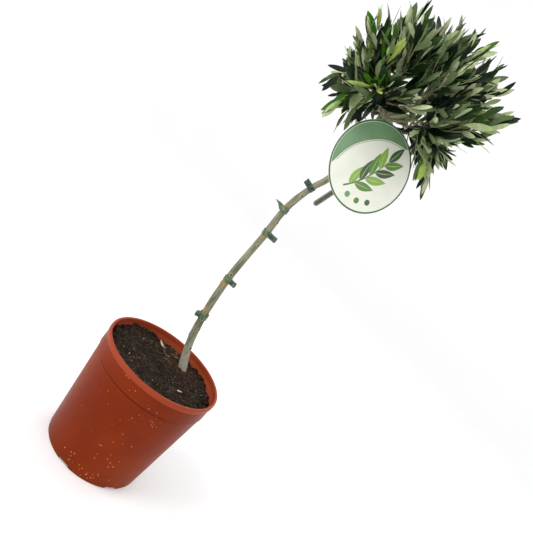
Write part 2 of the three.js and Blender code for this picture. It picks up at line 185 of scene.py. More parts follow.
def across(axis: Vector, angle: float) -> Vector:
    """A direction across an axis, turned round it by an angle in radians."""
    base = UP if abs(axis.z) < 0.95 else Vector((1, 0, 0))
    return Matrix.Rotation(angle, 3, axis) @ axis.cross(base).normalized()


class Path:
    """A curve through space that is read by its share of length."""

    def __init__(self, points: Iterable[Vector]) -> None:
        """Takes the points that the curve follows, close enough to join by straight lines.

        Args:
            points: the points, close together.
        """
        self.points = [Vector(point) for point in points]
        self.reached = [0.0]
        for before, after in zip(self.points, self.points[1:]):
            self.reached.append(self.reached[-1] + (after - before).length)
        self.length = self.reached[-1]

    @classmethod
    def bend(cls, start: Vector, middle: Vector, end: Vector, steps: int = 24) -> "Path":
        """A quadratic Bezier curve.

        Args:
            start: where it starts.
            middle: the point that pulls it.
            end: where it ends.
            steps: how many straight steps stand for it.

        Returns:
            The curve as a path.
        """
        shares = [i / steps for i in range(steps + 1)]
        return cls(start * (1 - t) ** 2 + middle * (2 * t * (1 - t)) + end * t * t for t in shares)

    @classmethod
    def through(cls, knots: list[Vector], steps: int = 24) -> "Path":
        """A centripetal Catmull-Rom curve through its knots.

        Args:
            knots: the points that it goes through.
            steps: how many straight steps stand for each span.

        Returns:
            The curve as a path.
        """
        ends = [2 * knots[0] - knots[1], *knots, 2 * knots[-1] - knots[-2]]
        points = [knots[0]]
        for p0, p1, p2, p3 in zip(ends, ends[1:], ends[2:], ends[3:]):
            d0, d1, d2 = (math.sqrt((b - a).length) for a, b in ((p0, p1), (p1, p2), (p2, p3)))
            leave = ((p1 - p0) / d0 - (p2 - p0) / (d0 + d1) + (p2 - p1) / d1) * d1
            enter = ((p2 - p1) / d1 - (p3 - p1) / (d1 + d2) + (p3 - p2) / d2) * d1
            for i in range(1, steps + 1):
                t = i / steps
                curve = (2 * p1 - 2 * p2 + leave + enter) * t**3
                curve += (3 * p2 - 3 * p1 - 2 * leave - enter) * t**2
                points.append(curve + leave * t + p1)
        return cls(points)

    def at(self, share: float) -> Vector:
        """The point at a share of the length.

        Args:
            share: the share of the length.

        Returns:
            The point.
        """
        wanted = min(max(share, 0.0), 1.0) * self.length
        low, high = 0, len(self.points) - 1
        while high - low > 1:
            middle = (low + high) // 2
            low, high = (middle, high) if self.reached[middle] <= wanted else (low, middle)
        span = self.reached[high] - self.reached[low]
        part = (wanted - self.reached[low]) / span if span else 0.0
        return self.points[low].lerp(self.points[high], part)

    def heading(self, share: float) -> Vector:
        """The direction in which the curve runs at a share of the length."""
        step = 0.5 / len(self.points)
        return (self.at(min(1.0, share + step)) - self.at(max(0.0, share - step))).normalized()


# ---------------------------------------- meshes


class Shape:
    """A mesh in the making, in millimetres, with a material slot for each face."""

    def __init__(self) -> None:
        """Starts with nothing."""
        self.points: list[Vector] = []
        self.faces: list[tuple[int, ...]] = []
        self.slots: list[int] = []

    def add(
        self, points: Iterable[Vector], faces: Iterable[tuple[int, ...]], slot: int = 0
    ) -> "Shape":
        """Adds points, and faces that count from the first of them.

        Args:
            points: the new points.
            faces: the new faces, as places in those points.
            slot: their material slot.

        Returns:
            The shape itself.
        """
        first = len(self.points)
        self.points.extend(points)
        for face in faces:
            self.faces.append(tuple(first + corner for corner in face))
            self.slots.append(slot)
        return self

    def add_rings(self, rings: list[list[Vector]], slot: int = 0) -> "Shape":
        """Adds a skin over closed rings of equal count, with a fan over each end.

        Args:
            rings: the rings, each turning the same way.
            slot: the material slot.

        Returns:
            The shape itself.
        """
        count = len(rings[0])
        points = [point for ring in rings for point in ring]
        faces = []
        for row in range(len(rings) - 1):
            for i in range(count):
                j = (i + 1) % count
                low, high = row * count, (row + 1) * count
                faces.append((low + i, low + j, high + j, high + i))
        for ring, start in ((rings[0], 0), (rings[-1], (len(rings) - 1) * count)):
            middle = len(points)
            points.append(sum(ring, Vector()) / count)
            for i in range(count):
                here, there = start + i, start + (i + 1) % count
                faces.append((middle, here, there) if start else (middle, there, here))
        return self.add(points, faces, slot)

    def add_lathe(self, profile: list[Pair], sides: int) -> "Shape":
        """Adds a profile of (radius, height) points turned round the Z axis.

        Args:
            profile: its points, from the axis round to the axis again.
            sides: how many steps the round has.

        Returns:
            The shape itself.
        """
        points, starts, faces = [], [], []
        for radius, height in profile:
            starts.append(len(points))
            round_z = circle(radius, sides)[: sides if radius > 1e-6 else 1]
            points.extend(Vector((x, y, height)) for x, y in round_z)
        ends = [*starts[1:], len(points)]
        for row in range(len(profile) - 1):
            here, there = starts[row], starts[row + 1]
            one_here, one_there = ends[row] - here == 1, ends[row + 1] - there == 1
            for i in range(sides):
                j = (i + 1) % sides
                if one_here:
                    faces.append((here, there + j, there + i))
                elif one_there:
                    faces.append((here + i, here + j, there))
                else:
                    faces.append((here + i, here + j, there + j, there + i))
        return self.add(points, faces)

    def add_ribbon(
        self, centre: list[Vector], wide: list[Vector], thick: list[Vector], slot: int = 0
    ) -> "Shape":
        """Adds a flat closed band.

        Args:
            centre: the points along its middle.
            wide: from the middle to one long edge, at each point.
            thick: from the middle to one flat side, at each point.
            slot: the material slot.

        Returns:
            The shape itself.
        """
        rings = []
        for at, half, rise in zip(centre, wide, thick):
            soft = half * 0.93
            rings.append([
                at - half, at - soft + rise, at + rise, at + soft + rise,
                at + half, at + soft - rise, at - rise, at - soft - rise,
            ])
        return self.add_rings(rings, slot)

    def finish(
        self, name: str, finishes: list["Finish"], sharp: float = 50.0, turn_out: bool = True
    ) -> Thing:
        """Makes the object, in metres, with smooth faces that meet sharply past an angle.

        Args:
            name: its name.
            finishes: the finish of each material slot.
            sharp: the least angle between two faces, in degrees, that shows as an edge.
            turn_out: whether the faces are turned outwards first.

        Returns:
            The object, linked to the scene.
        """
        mesh = bpy.data.meshes.new(name)
        mesh.from_pydata([point * MM for point in self.points], [], self.faces)
        mesh.polygons.foreach_set("material_index", self.slots)
        if turn_out:
            face_outwards(mesh)
        smooth_faces(mesh, sharp)
        for finish in finishes:
            mesh.materials.append(finish.material())
        return linked(name, mesh)


def linked(name: str, data: bpy.types.ID) -> Thing:
    """A new object that shows some data, in the scene.

    Args:
        name: its name.
        data: the data.

    Returns:
        The object.
    """
    made = bpy.data.objects.new(name, data)
    bpy.context.scene.collection.objects.link(made)
    return made


def face_outwards(mesh: bpy.types.Mesh) -> None:
    """Turns every face of a closed mesh to the outside.

    Args:
        mesh: the mesh.
    """
    work = bmesh.new()
    work.from_mesh(mesh)
    bmesh.ops.recalc_face_normals(work, faces=work.faces)
    work.to_mesh(mesh)
    work.free()


def smooth_faces(mesh: bpy.types.Mesh, sharp: float) -> None:
    """Shades a mesh smooth, with edges past the angle, in degrees, left sharp.

    Args:
        mesh: the mesh.
        sharp: the least angle of an edge, in degrees.
    """
    mesh.shade_smooth()
    mesh.set_sharp_from_angle(angle=math.radians(sharp))
    mesh.update()


def frames_along(path: Path, count: int, reference: Vector) -> list[tuple[Vector, Vector, Vector]]:
    """The point and two directions across a path at even steps.

    Args:
        path: the path.
        count: how many steps it has.
        reference: the way that the first direction across leans.

    Returns:
        For each of count + 1 places: the point, the direction nearest to the reference, and the
        other one.
    """
    frames = []
    for i in range(count + 1):
        heading = path.heading(i / count)
        first = (reference - heading * reference.dot(heading)).normalized()
        frames.append((path.at(i / count), first, heading.cross(first)))
        reference = first
    return frames


def tube_rings(
    path: Path, radius: Callable[[float, float], float], sides: int, count: int, reference: Vector
) -> list[list[Vector]]:
    """The rings of a round limb along a path.

    Args:
        path: its middle line.
        radius: its radius at a share of the length and a turn in radians.
        sides: how many points a ring has.
        count: how many steps there are along it.
        reference: the way that turn 0 looks.

    Returns:
        The rings, from its foot to its tip.
    """
    rings = []
    for i, (at, first, second) in enumerate(frames_along(path, count, reference)):
        ring = []
        for j in range(sides):
            turn = math.tau * j / sides
            out = first * math.cos(turn) + second * math.sin(turn)
            ring.append(at + out * radius(i / count, turn))
        rings.append(ring)
    return rings


def joined(target: Thing, cutter: Thing, operation: str) -> None:
    """Cuts or joins a cutter into a target by a Boolean, applies it and removes the cutter.

    Args:
        target: the object that is changed.
        cutter: the object that cuts or is added.
        operation: DIFFERENCE or UNION.
    """
    modifier = target.modifiers.new("join", "BOOLEAN")
    modifier.operation = operation
    modifier.solver = "EXACT"
    modifier.object = cutter
    apply_modifiers(target)
    bpy.data.objects.remove(cutter)


def apply_modifiers(target: Thing) -> None:
    """Bakes an object's modifiers into its mesh and removes them.

    Args:
        target: the object.
    """
    graph = bpy.context.evaluated_depsgraph_get()
    made = bpy.data.meshes.new_from_object(target.evaluated_get(graph), depsgraph=graph)
    target.modifiers.clear()
    old = target.data
    target.data = made
    bpy.data.meshes.remove(old)


def rounded(corners: list[Triple], steps: int = 5) -> list[Pair]:
    """A profile with each corner rounded.

    Args:
        corners: its corners as (radius from the axis, height, radius of the rounding).
        steps: how many steps a rounded corner has.

    Returns:
        The profile's points.
    """
    points = [corners[0][:2]]
    for before, here, after in zip(corners, corners[1:], corners[2:]):
        at = Vector(here[:2])
        back, ahead = Vector(before[:2]) - at, Vector(after[:2]) - at
        half = back.angle(ahead) / 2
        most = 0.45 * min(back.length, ahead.length)
        cut = min(here[2] / math.tan(half), most) if half < 1.56 else 0
        if cut < 1e-3:
            points.append(tuple(at))
            continue
        start, end = at + back.normalized() * cut, at + ahead.normalized() * cut
        for i in range(steps + 1):
            t = i / steps
            points.append(tuple(start * (1 - t) ** 2 + at * (2 * t * (1 - t)) + end * t * t))
    points.append(corners[-1][:2])
    return points


# ---------------------------------------- shader trees


def _operator(operation: str, swapped: bool = False) -> Callable:
    """The method of Num that stands for one Math node on two values.

    Args:
        operation: the node's operation.
        swapped: whether the other value comes first.

    Returns:
        The method.
    """

    def method(self: "Num", other: "Num | float") -> "Num":
        """The operation's result."""
        return self._math(operation, *((other, self) if swapped else (self, other)))

    return method


class Num:
    """A number in a shader tree. An expression on it adds the Math nodes that it needs."""

    def __init__(self, shader: "Shader", socket: Socket) -> None:
        """Wraps an output socket of a shader's tree."""
        self.shader = shader
        self.socket = socket

    def _math(self, operation: str, *values: "Num | float") -> "Num":
        """The result of one Math node on some values."""
        made = self.shader.node("ShaderNodeMath", dict(enumerate(values)), operation=operation)
        return Num(self.shader, made.outputs[0])

    __add__ = __radd__ = _operator("ADD")
    __mul__ = __rmul__ = _operator("MULTIPLY")
    __sub__, __rsub__ = _operator("SUBTRACT"), _operator("SUBTRACT", swapped=True)
    __pow__ = _operator("POWER")

    def __abs__(self) -> "Num":
        """This number without its sign."""
        return self._math("ABSOLUTE", self)

    def step(self, low: float, high: float) -> "Num":
        """0 up to low and 1 from high on, smooth between; low above high turns it round.

        Args:
            low: where the step starts.
            high: where it ends.

        Returns:
            The number.
        """
        values = {"Value": self, "From Min": min(low, high), "From Max": max(low, high)}
        if low > high:
            values.update({"To Min": 1.0, "To Max": 0.0})
        made = self.shader.node("ShaderNodeMapRange", values, interpolation_type="SMOOTHSTEP")
        return Num(self.shader, made.outputs["Result"])


class Nodes:
    """A node tree that is written here, node by node."""

    tree: bpy.types.NodeTree

    def node(self, kind: str, inputs: dict | None = None, **settings: object) -> bpy.types.Node:
        """Adds a node.

        Args:
            kind: the node's type.
            inputs: for each socket, by name or place, the value or the link that it gets.
            **settings: its settings, set before its sockets.

        Returns:
            The node.
        """
        made = self.tree.nodes.new(kind)
        for name, value in settings.items():
            setattr(made, name, value)
        for key, value in (inputs or {}).items():
            source = value.socket if isinstance(value, Num) else value
            if isinstance(source, Socket):
                self.tree.links.new(source, made.inputs[key])
            else:
                made.inputs[key].default_value = source
        return made


class Shader(Nodes):
    """The node tree of one material."""

    def __init__(self, name: str) -> None:
        """Starts a material with an empty tree.

        Args:
            name: its name.
        """
        self.made = bpy.data.materials.new(name)
        self.made.use_nodes = True
        self.tree = self.made.node_tree
        self.tree.nodes.clear()
        self.place = self.node("ShaderNodeTexCoord").outputs["Object"]

    def moved(self, scale: Triple, turn: Triple = (0, 0, 0)) -> Socket:
        """The object's own coordinates, stretched and turned.

        Args:
            scale: the scale along each axis.
            turn: the rotation in radians.

        Returns:
            The vector socket.
        """
        inputs = {"Vector": self.place, "Scale": scale, "Rotation": turn}
        return self.node("ShaderNodeMapping", inputs).outputs[0]

    def noise(
        self, scale: float, detail: float = 3, rough: float = 0.55, place: Socket | None = None
    ) -> Num:
        """Soft noise.

        Args:
            scale: how many features go in a metre.
            detail: how many finer layers it has.
            rough: how strong they are.
            place: the coordinates, when not the object's own.

        Returns:
            The noise, about 0.3 to 0.7.
        """
        inputs = {
            "Vector": place or self.place, "Scale": scale, "Detail": detail, "Roughness": rough
        }
        return Num(self, self.node("ShaderNodeTexNoise", inputs).outputs[0])

    def cells(
        self, scale: float, feature: str = "F1", place: Socket | None = None
    ) -> tuple[Num, Num]:
        """A Voronoi pattern.

        Args:
            scale: how many cells go in a metre.
            feature: F1 for spots, DISTANCE_TO_EDGE for cracks.
            place: the coordinates, when not the object's own.

        Returns:
            The distance in each cell, and a random number for each cell.
        """
        inputs = {"Vector": place or self.place, "Scale": scale}
        made = self.node("ShaderNodeTexVoronoi", inputs, feature=feature)
        if feature == "DISTANCE_TO_EDGE":
            return Num(self, made.outputs["Distance"]), Num(self, made.outputs["Distance"])
        parted = self.node("ShaderNodeSeparateColor", {0: made.outputs["Color"]})
        return Num(self, made.outputs["Distance"]), Num(self, parted.outputs[0])

    def axis(self, name: str) -> Num:
        """One coordinate, X, Y or Z, in metres."""
        return Num(self, self.node("ShaderNodeSeparateXYZ", {0: self.place}).outputs[name])

    def distance_to(self, centre: Triple) -> Num:
        """How far a place is from a point given in millimetres, in metres."""
        inputs = {0: self.place, 1: tuple(Vector(centre) * MM)}
        made = self.node("ShaderNodeVectorMath", inputs, operation="DISTANCE")
        return Num(self, made.outputs["Value"])

    def blend(self, under: Colour | Socket, over: Colour | Socket, share: Num) -> Socket:
        """A colour laid over another by a share.

        Args:
            under: the first colour, or a link to it.
            over: the second colour, or a link to it.
            share: how much of the second shows.

        Returns:
            The colour socket.
        """
        inputs = {0: share, 6: under, 7: over}
        return self.node("ShaderNodeMix", inputs, data_type="RGBA").outputs[2]

    def bump(
        self, height: Num, depth: float, strength: float, under: Socket | None = None
    ) -> Socket:
        """A relief.

        Args:
            height: the relief's height, 0 to 1.
            depth: what 1 stands for, in metres.
            strength: how much of it shows.
            under: another relief that this one is laid on.

        Returns:
            The normal socket.
        """
        inputs = {"Height": height, "Distance": depth, "Strength": strength}
        if under:
            inputs["Normal"] = under
        return self.node("ShaderNodeBump", inputs).outputs[0]

    def surface(self, colour: Socket, rough: Num | float, **others: object) -> Material:
        """Ends the tree in a Principled surface.

        Args:
            colour: the base colour or a link to it.
            rough: the roughness or a link to it.
            **others: other sockets by name, with _ for a space.

        Returns:
            The material.
        """
        inputs = {"Base Color": colour, "Roughness": rough}
        inputs.update({name.replace("_", " "): value for name, value in others.items()})
        made = self.node("ShaderNodeBsdfPrincipled", inputs)
        self.node("ShaderNodeOutputMaterial", {"Surface": made.outputs[0]})
        return self.made


@dataclass(frozen=True)
class Finish:
    """What a surface is made of. Each kind says how its shader is built."""

    name: str

    def material(self) -> Material:
        """The finish's material, made once and then shared."""
        return bpy.data.materials.get(self.name) or self.dress(Shader(self.name))

    def dress(self, shader: Shader) -> Material:
        """Builds the finish's node tree and returns its material."""
        raise NotImplementedError


@dataclass(frozen=True)
class PotPlastic(Finish):
    """Satin terracotta plastic: mottled and finely scuffed, with a painted highlight on the rim,
    painted light on the inner wall above the mix and a painted shade line in the step under the
    collar; the dried splashes are a piece of their own.
    """

    name: str = "terracotta_plastic"
    deep: Colour = paint(114, 35, 2)
    warm: Colour = paint(128, 45, 5)
    # Painted highlight along the rim's lip.
    rim: Colour = paint(160, 68, 42)
    # Painted light on the inner wall above the mix.
    inner: Colour = paint(178, 84, 54)
    soiled: Colour = paint(96, 52, 34)
    # Painted shade: a dark line in the step under the collar.
    groove: Colour = paint(60, 20, 8)
    # Heights and radii at which these start and are whole, in metres.
    rim_edge: Pair = (0.1895, 0.1925)
    inner_radii: Pair = (0.1019, 0.1012)
    inner_heights: Pair = (0.16, 0.17)
    soiled_heights: Pair = (0.03, 0.0)
    groove_heights: tuple[Pair, Pair] = ((0.1652, 0.1659), (0.1674, 0.1668))

    def dress(self, shader: Shader) -> Material:
        """Builds the node tree and returns the material.

        Args:
            shader: the tree to build in.

        Returns:
            The material.
        """
        cloud = shader.noise(9, 3, 0.5).step(0.3, 0.7)
        colour = shader.blend(self.deep, self.warm, cloud)
        height = shader.axis("Z")
        # Painted highlight along the rim.
        rim_highlight = height.step(*self.rim_edge)
        colour = shader.blend(colour, self.rim, rim_highlight * 0.75)
        x, y = shader.axis("X"), shader.axis("Y")
        # Painted light on the inner wall above the mix.
        inside = ((x * x + y * y) ** 0.5).step(*self.inner_radii) * height.step(*self.inner_heights)
        colour = shader.blend(colour, self.inner, inside * (1 - rim_highlight) * 0.8)
        dust = shader.noise(55, 5, 0.7).step(0.5, 0.8) * height.step(*self.soiled_heights) * 0.5
        colour = shader.blend(colour, self.soiled, dust)
        # Painted shade: a dark line in the step under the collar.
        line = height.step(*self.groove_heights[0]) * height.step(*self.groove_heights[1])
        colour = shader.blend(colour, self.groove, line * 0.8)
        lines = shader.noise(60, 3, 0.6, shader.moved((6, 6, 0.35))).step(0.45, 0.75)
        rough = 0.34 + 0.1 * cloud + 0.14 * lines
        grain = shader.bump(shader.noise(2600, 2, 0.5), 0.00004, 0.5)
        normal = shader.bump(lines, 0.00006, 0.5, grain)
        return shader.surface(colour, rough, Normal=normal, Specular_IOR_Level=0.09)


@dataclass(frozen=True)
class PottingMix(Finish):
    """Dark, damp potting mix: streaks of peat, rust round the stem and pale grains."""

    name: str = "peat_mix"
    peat: Colour = paint(22, 17, 13)
    brown: Colour = paint(66, 52, 40)
    rust: Colour = paint(88, 50, 24)
    grain: Colour = paint(150, 140, 122)
    # How far from the stem the rust starts and is whole, in metres.
    rusty_reach: Pair = (0.045, 0.008)

    def dress(self, shader: Shader) -> Material:
        """Builds the node tree and returns the material.

        Args:
            shader: the tree to build in.

        Returns:
            The material.
        """
        streaks = shader.noise(210, 6, 0.72, shader.moved((0.45, 1.5, 1), (0, 0, 0.75)))
        lumps = shader.noise(95, 5, 0.65)
        colour = shader.blend(self.peat, self.brown, (streaks * 0.6 + lumps * 0.4).step(0.42, 0.72))
        x, y = shader.axis("X") - FOOT.x * MM, shader.axis("Y") - (FOOT.y - 4) * MM
        away = (x * x + y * y) ** 0.5
        rusty = away.step(*self.rusty_reach) * shader.noise(160, 4, 0.7).step(0.4, 0.62)
        colour = shader.blend(colour, self.rust, rusty * 0.7)
        distance, pick = shader.cells(330)
        grains = distance.step(0.3, 0.16) * pick.step(0.93, 0.95)
        colour = shader.blend(colour, self.grain, grains * 0.8)
        fine = shader.bump(shader.noise(1500, 4, 0.7), 0.0005, 0.7)
        normal = shader.bump(streaks, 0.0016, 0.8, fine)
        return shader.surface(colour, 0.95 - 0.3 * streaks, Normal=normal, Specular_IOR_Level=0.12)


@dataclass(frozen=True)
class Litter(Finish):
    """Loose bits on the mix: crumbs, fibres or chips, in their own colour, flecked."""

    colour: Colour = paint(26, 20, 15)
    fleck: Colour = paint(78, 60, 44)

    def dress(self, shader: Shader) -> Material:
        """Builds the node tree and returns the material.

        Args:
            shader: the tree to build in.

        Returns:
            The material.
        """
        flecks = shader.noise(420, 4, 0.7).step(0.42, 0.66)
        normal = shader.bump(shader.noise(1800, 3, 0.7), 0.0003, 0.7)
        colour = shader.blend(self.colour, self.fleck, flecks)
        return shader.surface(colour, 0.9, Normal=normal, Specular_IOR_Level=0.12)


@dataclass(frozen=True)
class Bark(Finish):
    """Grey-green young bark: streaks, fine cracks, specks, knots and bands of bare ochre."""

    name: str = "young_bark"
    grey: Colour = paint(146, 143, 120)
    green: Colour = paint(98, 101, 76)
    dark: Colour = paint(70, 62, 48)
    ochre: Colour = paint(164, 128, 62)
    pale_foot: Colour = paint(178, 176, 158)
    shaded_top: Colour = paint(78, 72, 52)
    speck: Colour = paint(188, 182, 160)
    knot_edge: Colour = paint(168, 162, 134)
    # Heights at which the pale foot and the shaded top start and are whole, in metres.
    foot_heights: Pair = (0.27, 0.2)
    top_heights: Pair = (0.69, 0.735)
    knots: tuple = ()
    scars: tuple = ()

    def dress(self, shader: Shader) -> Material:
        """Builds the node tree and returns the material.

        Args:
            shader: the tree to build in.

        Returns:
            The material.
        """
        along = shader.moved((1, 1, 0.07))
        streaks = shader.noise(260, 5, 0.65, along)
        patches = shader.noise(38, 3, 0.6)
        greyed = (streaks * 0.65 + patches * 0.5).step(0.46, 0.68)
        colour = shader.blend(self.green, self.grey, greyed)
        height = shader.axis("Z")
        pale = height.step(*self.foot_heights) * patches.step(0.4, 0.55) * 0.75
        colour = shader.blend(colour, self.pale_foot, pale)
        colour = shader.blend(colour, self.shaded_top, height.step(*self.top_heights) * 0.65)
        crack, _ = shader.cells(420, "DISTANCE_TO_EDGE", along)
        cracks = crack.step(0.07, 0.01) * patches.step(0.42, 0.6)
        colour = shader.blend(colour, self.dark, cracks * 0.45)
        distance, pick = shader.cells(420)
        specks = distance.step(0.26, 0.16) * pick.step(0.86, 0.9)
        colour = shader.blend(colour, self.speck, specks * 0.6)
        for level, half in self.scars:
            band = abs(height - level * MM).step(half * MM, 0.55 * half * MM)
            band = band * shader.noise(75, 3, 0.6).step(0.42, 0.52) * 0.8
            colour = shader.blend(colour, self.ochre, band)
        for centre, size in self.knots:
            offset = shader.distance_to(centre)
            pale = offset.step(size * MM * 1.9, size * MM * 1.2)
            colour = shader.blend(colour, self.knot_edge, pale * 0.5)
            ring = offset.step(size * MM * 1.15, size * MM * 0.5)
            colour = shader.blend(colour, self.dark, ring * 0.85)
        fine = shader.bump(shader.noise(1500, 3, 0.6, along), 0.0002, 0.5)
        normal = shader.bump(streaks + cracks * -0.6, 0.0006, 0.7, fine)
        return shader.surface(colour, 0.62 + 0.22 * streaks, Normal=normal, Specular_IOR_Level=0.2)


@dataclass(frozen=True)
class Twig(Finish):
    """The pale olive skin of this year's twigs."""

    name: str = "twig"
    old: Colour = paint(122, 118, 88)
    young: Colour = paint(146, 152, 110)

    def dress(self, shader: Shader) -> Material:
        """Builds the node tree and returns the material.

        Args:
            shader: the tree to build in.

        Returns:
            The material.
        """
        skin = shader.noise(300, 4, 0.6)
        colour = shader.blend(self.old, self.young, skin.step(0.4, 0.62))
        return shader.surface(colour, 0.6 + 0.2 * skin, Normal=shader.bump(skin, 0.0003, 0.6))


@dataclass(frozen=True)
class Leaf(Finish):
    """One tint of leathery leaf, with a faint mottle and a fine grain."""

    tint: Colour = paint(40, 60, 42)
    rough: float = 0.42
    grain: float = 0.00008

    def dress(self, shader: Shader) -> Material:
        """Builds the node tree and returns the material.

        Args:
            shader: the tree to build in.

        Returns:
            The material.
        """
        mottle = shader.noise(150, 2, 0.5)
        lighter = tuple(min(1.0, level * 1.12) for level in self.tint[:3]) + (1.0,)
        darker = tuple(level * 0.9 for level in self.tint[:3]) + (1.0,)
        colour = shader.blend(darker, lighter, mottle.step(0.34, 0.66))
        normal = shader.bump(shader.noise(2400, 2, 0.6), self.grain, 0.6)
        rough = self.rough + 0.14 * mottle
        return shader.surface(colour, rough, Normal=normal, Specular_IOR_Level=0.17)


@dataclass(frozen=True)
class Tape(Finish):
    """Soft tying tape with a dull sheen, fine lines along it and paler stretched places."""

    name: str = "soft_tape"
    colour: Colour = paint(62, 86, 60)
    worn: Colour = paint(104, 124, 96)

    def dress(self, shader: Shader) -> Material:
        """Builds the node tree and returns the material.

        Args:
            shader: the tree to build in.

        Returns:
            The material.
        """
        worn = shader.noise(170, 4, 0.6)
        lines = shader.noise(900, 2, 0.5, shader.moved((0.3, 0.3, 2.2)))
        colour = shader.blend(self.colour, self.worn, worn.step(0.44, 0.66))
        normal = shader.bump(lines * 0.5 + worn, 0.0004, 0.6)
        return shader.surface(colour, 0.4 + 0.2 * worn, Normal=normal)


@dataclass(frozen=True)
class Card(Finish):
    """A thin printed plastic card or one flat colour of its print: satin, very finely grained."""

    colour: Colour = paint(236, 238, 224)
    second: Colour = paint(231, 234, 218)
    rough: float = 0.34

    def dress(self, shader: Shader) -> Material:
        """Builds the node tree and returns the material.

        Args:
            shader: the tree to build in.

        Returns:
            The material.
        """
        soft = shader.noise(28, 3, 0.5)
        colour = shader.blend(self.colour, self.second, soft.step(0.38, 0.66))
        normal = shader.bump(shader.noise(1300, 2, 0.5), 0.00004, 0.4)
        return shader.surface(colour, self.rough + 0.1 * soft, Normal=normal, Coat_Weight=0.25)


@dataclass(frozen=True)
class Paper(Finish):
    """The studio's pale floor and sweep, barely mottled."""

    name: str = "studio_paper"
    white: Colour = paint(246, 246, 246)
    whiter: Colour = paint(250, 250, 250)
    glow: float = 0.1

    def dress(self, shader: Shader) -> Material:
        """Builds the node tree and returns the material.

        Args:
            shader: the tree to build in.

        Returns:
            The material.
        """
        soft = shader.noise(3, 2, 0.5)
        colour = shader.blend(self.white, self.whiter, soft)
        return shader.surface(colour, 0.9, Emission_Color=(1, 1, 1, 1), Emission_Strength=self.glow)


# ---------------------------------------- nodes that repeat


class Tree(Nodes):
    """A Geometry Nodes tree that is built from named inputs."""

    def __init__(self, name: str) -> None:
        """Starts a tree with a geometry input and output.

        Args:
            name: its name.
        """
        self.tree = bpy.data.node_groups.new(name, "GeometryNodeTree")
        for way in ("OUTPUT", "INPUT"):
            kind = "NodeSocketGeometry"
            self.tree.interface.new_socket("Geometry", in_out=way, socket_type=kind)
        self.inputs = self.tree.nodes.new("NodeGroupInput")
        self.keys: dict[str, str] = {}

    def size(self, name: str, kind: str = "NodeSocketFloat") -> Socket:
        """Adds a named input.

        Args:
            name: the input's name.
            kind: its socket type.

        Returns:
            The socket that carries it in the tree.
        """
        made = self.tree.interface.new_socket(name, in_out="INPUT", socket_type=kind)
        self.keys[name] = made.identifier
        return next(out for out in self.inputs.outputs if out.identifier == made.identifier)

    def read(self, name: str, kind: str = "FLOAT") -> Socket:
        """The value of a named attribute."""
        made = self.node("GeometryNodeInputNamedAttribute", {"Name": name}, data_type=kind)
        return next(out for out in made.outputs if out.enabled and out.name == "Attribute")

    def end(self, geometry: Socket) -> None:
        """Links the tree's last geometry to its output."""
        made = self.tree.nodes.new("NodeGroupOutput")
        self.tree.links.new(geometry, made.inputs[0])

    def run(self, target: Thing, values: dict) -> None:
        """Runs the tree on an object and keeps the result as its plain mesh.

        Args:
            target: the object.
            values: the value of each named input.
        """
        modifier = target.modifiers.new(self.tree.name, "NODES")
        modifier.node_group = self.tree
        for name, value in values.items():
            modifier[self.keys[name]] = value
        apply_modifiers(target)


def hidden_set(name: str, members: list[Thing]) -> Collection:
    """Moves some objects into a collection of their own that no view shows.

    Args:
        name: its name.
        members: the objects.

    Returns:
        The collection.
    """
    made = bpy.data.collections.new(name)
    for member in members:
        for holder in list(member.users_collection):
            holder.objects.unlink(member)
        made.objects.link(member)
    return made


def drop_set(made: Collection) -> None:
    """Removes a collection with all of its objects.

    Args:
        made: the collection.
    """
    for member in list(made.objects):
        bpy.data.objects.remove(member)
    bpy.data.collections.remove(made)


# ---------------------------------------- pot


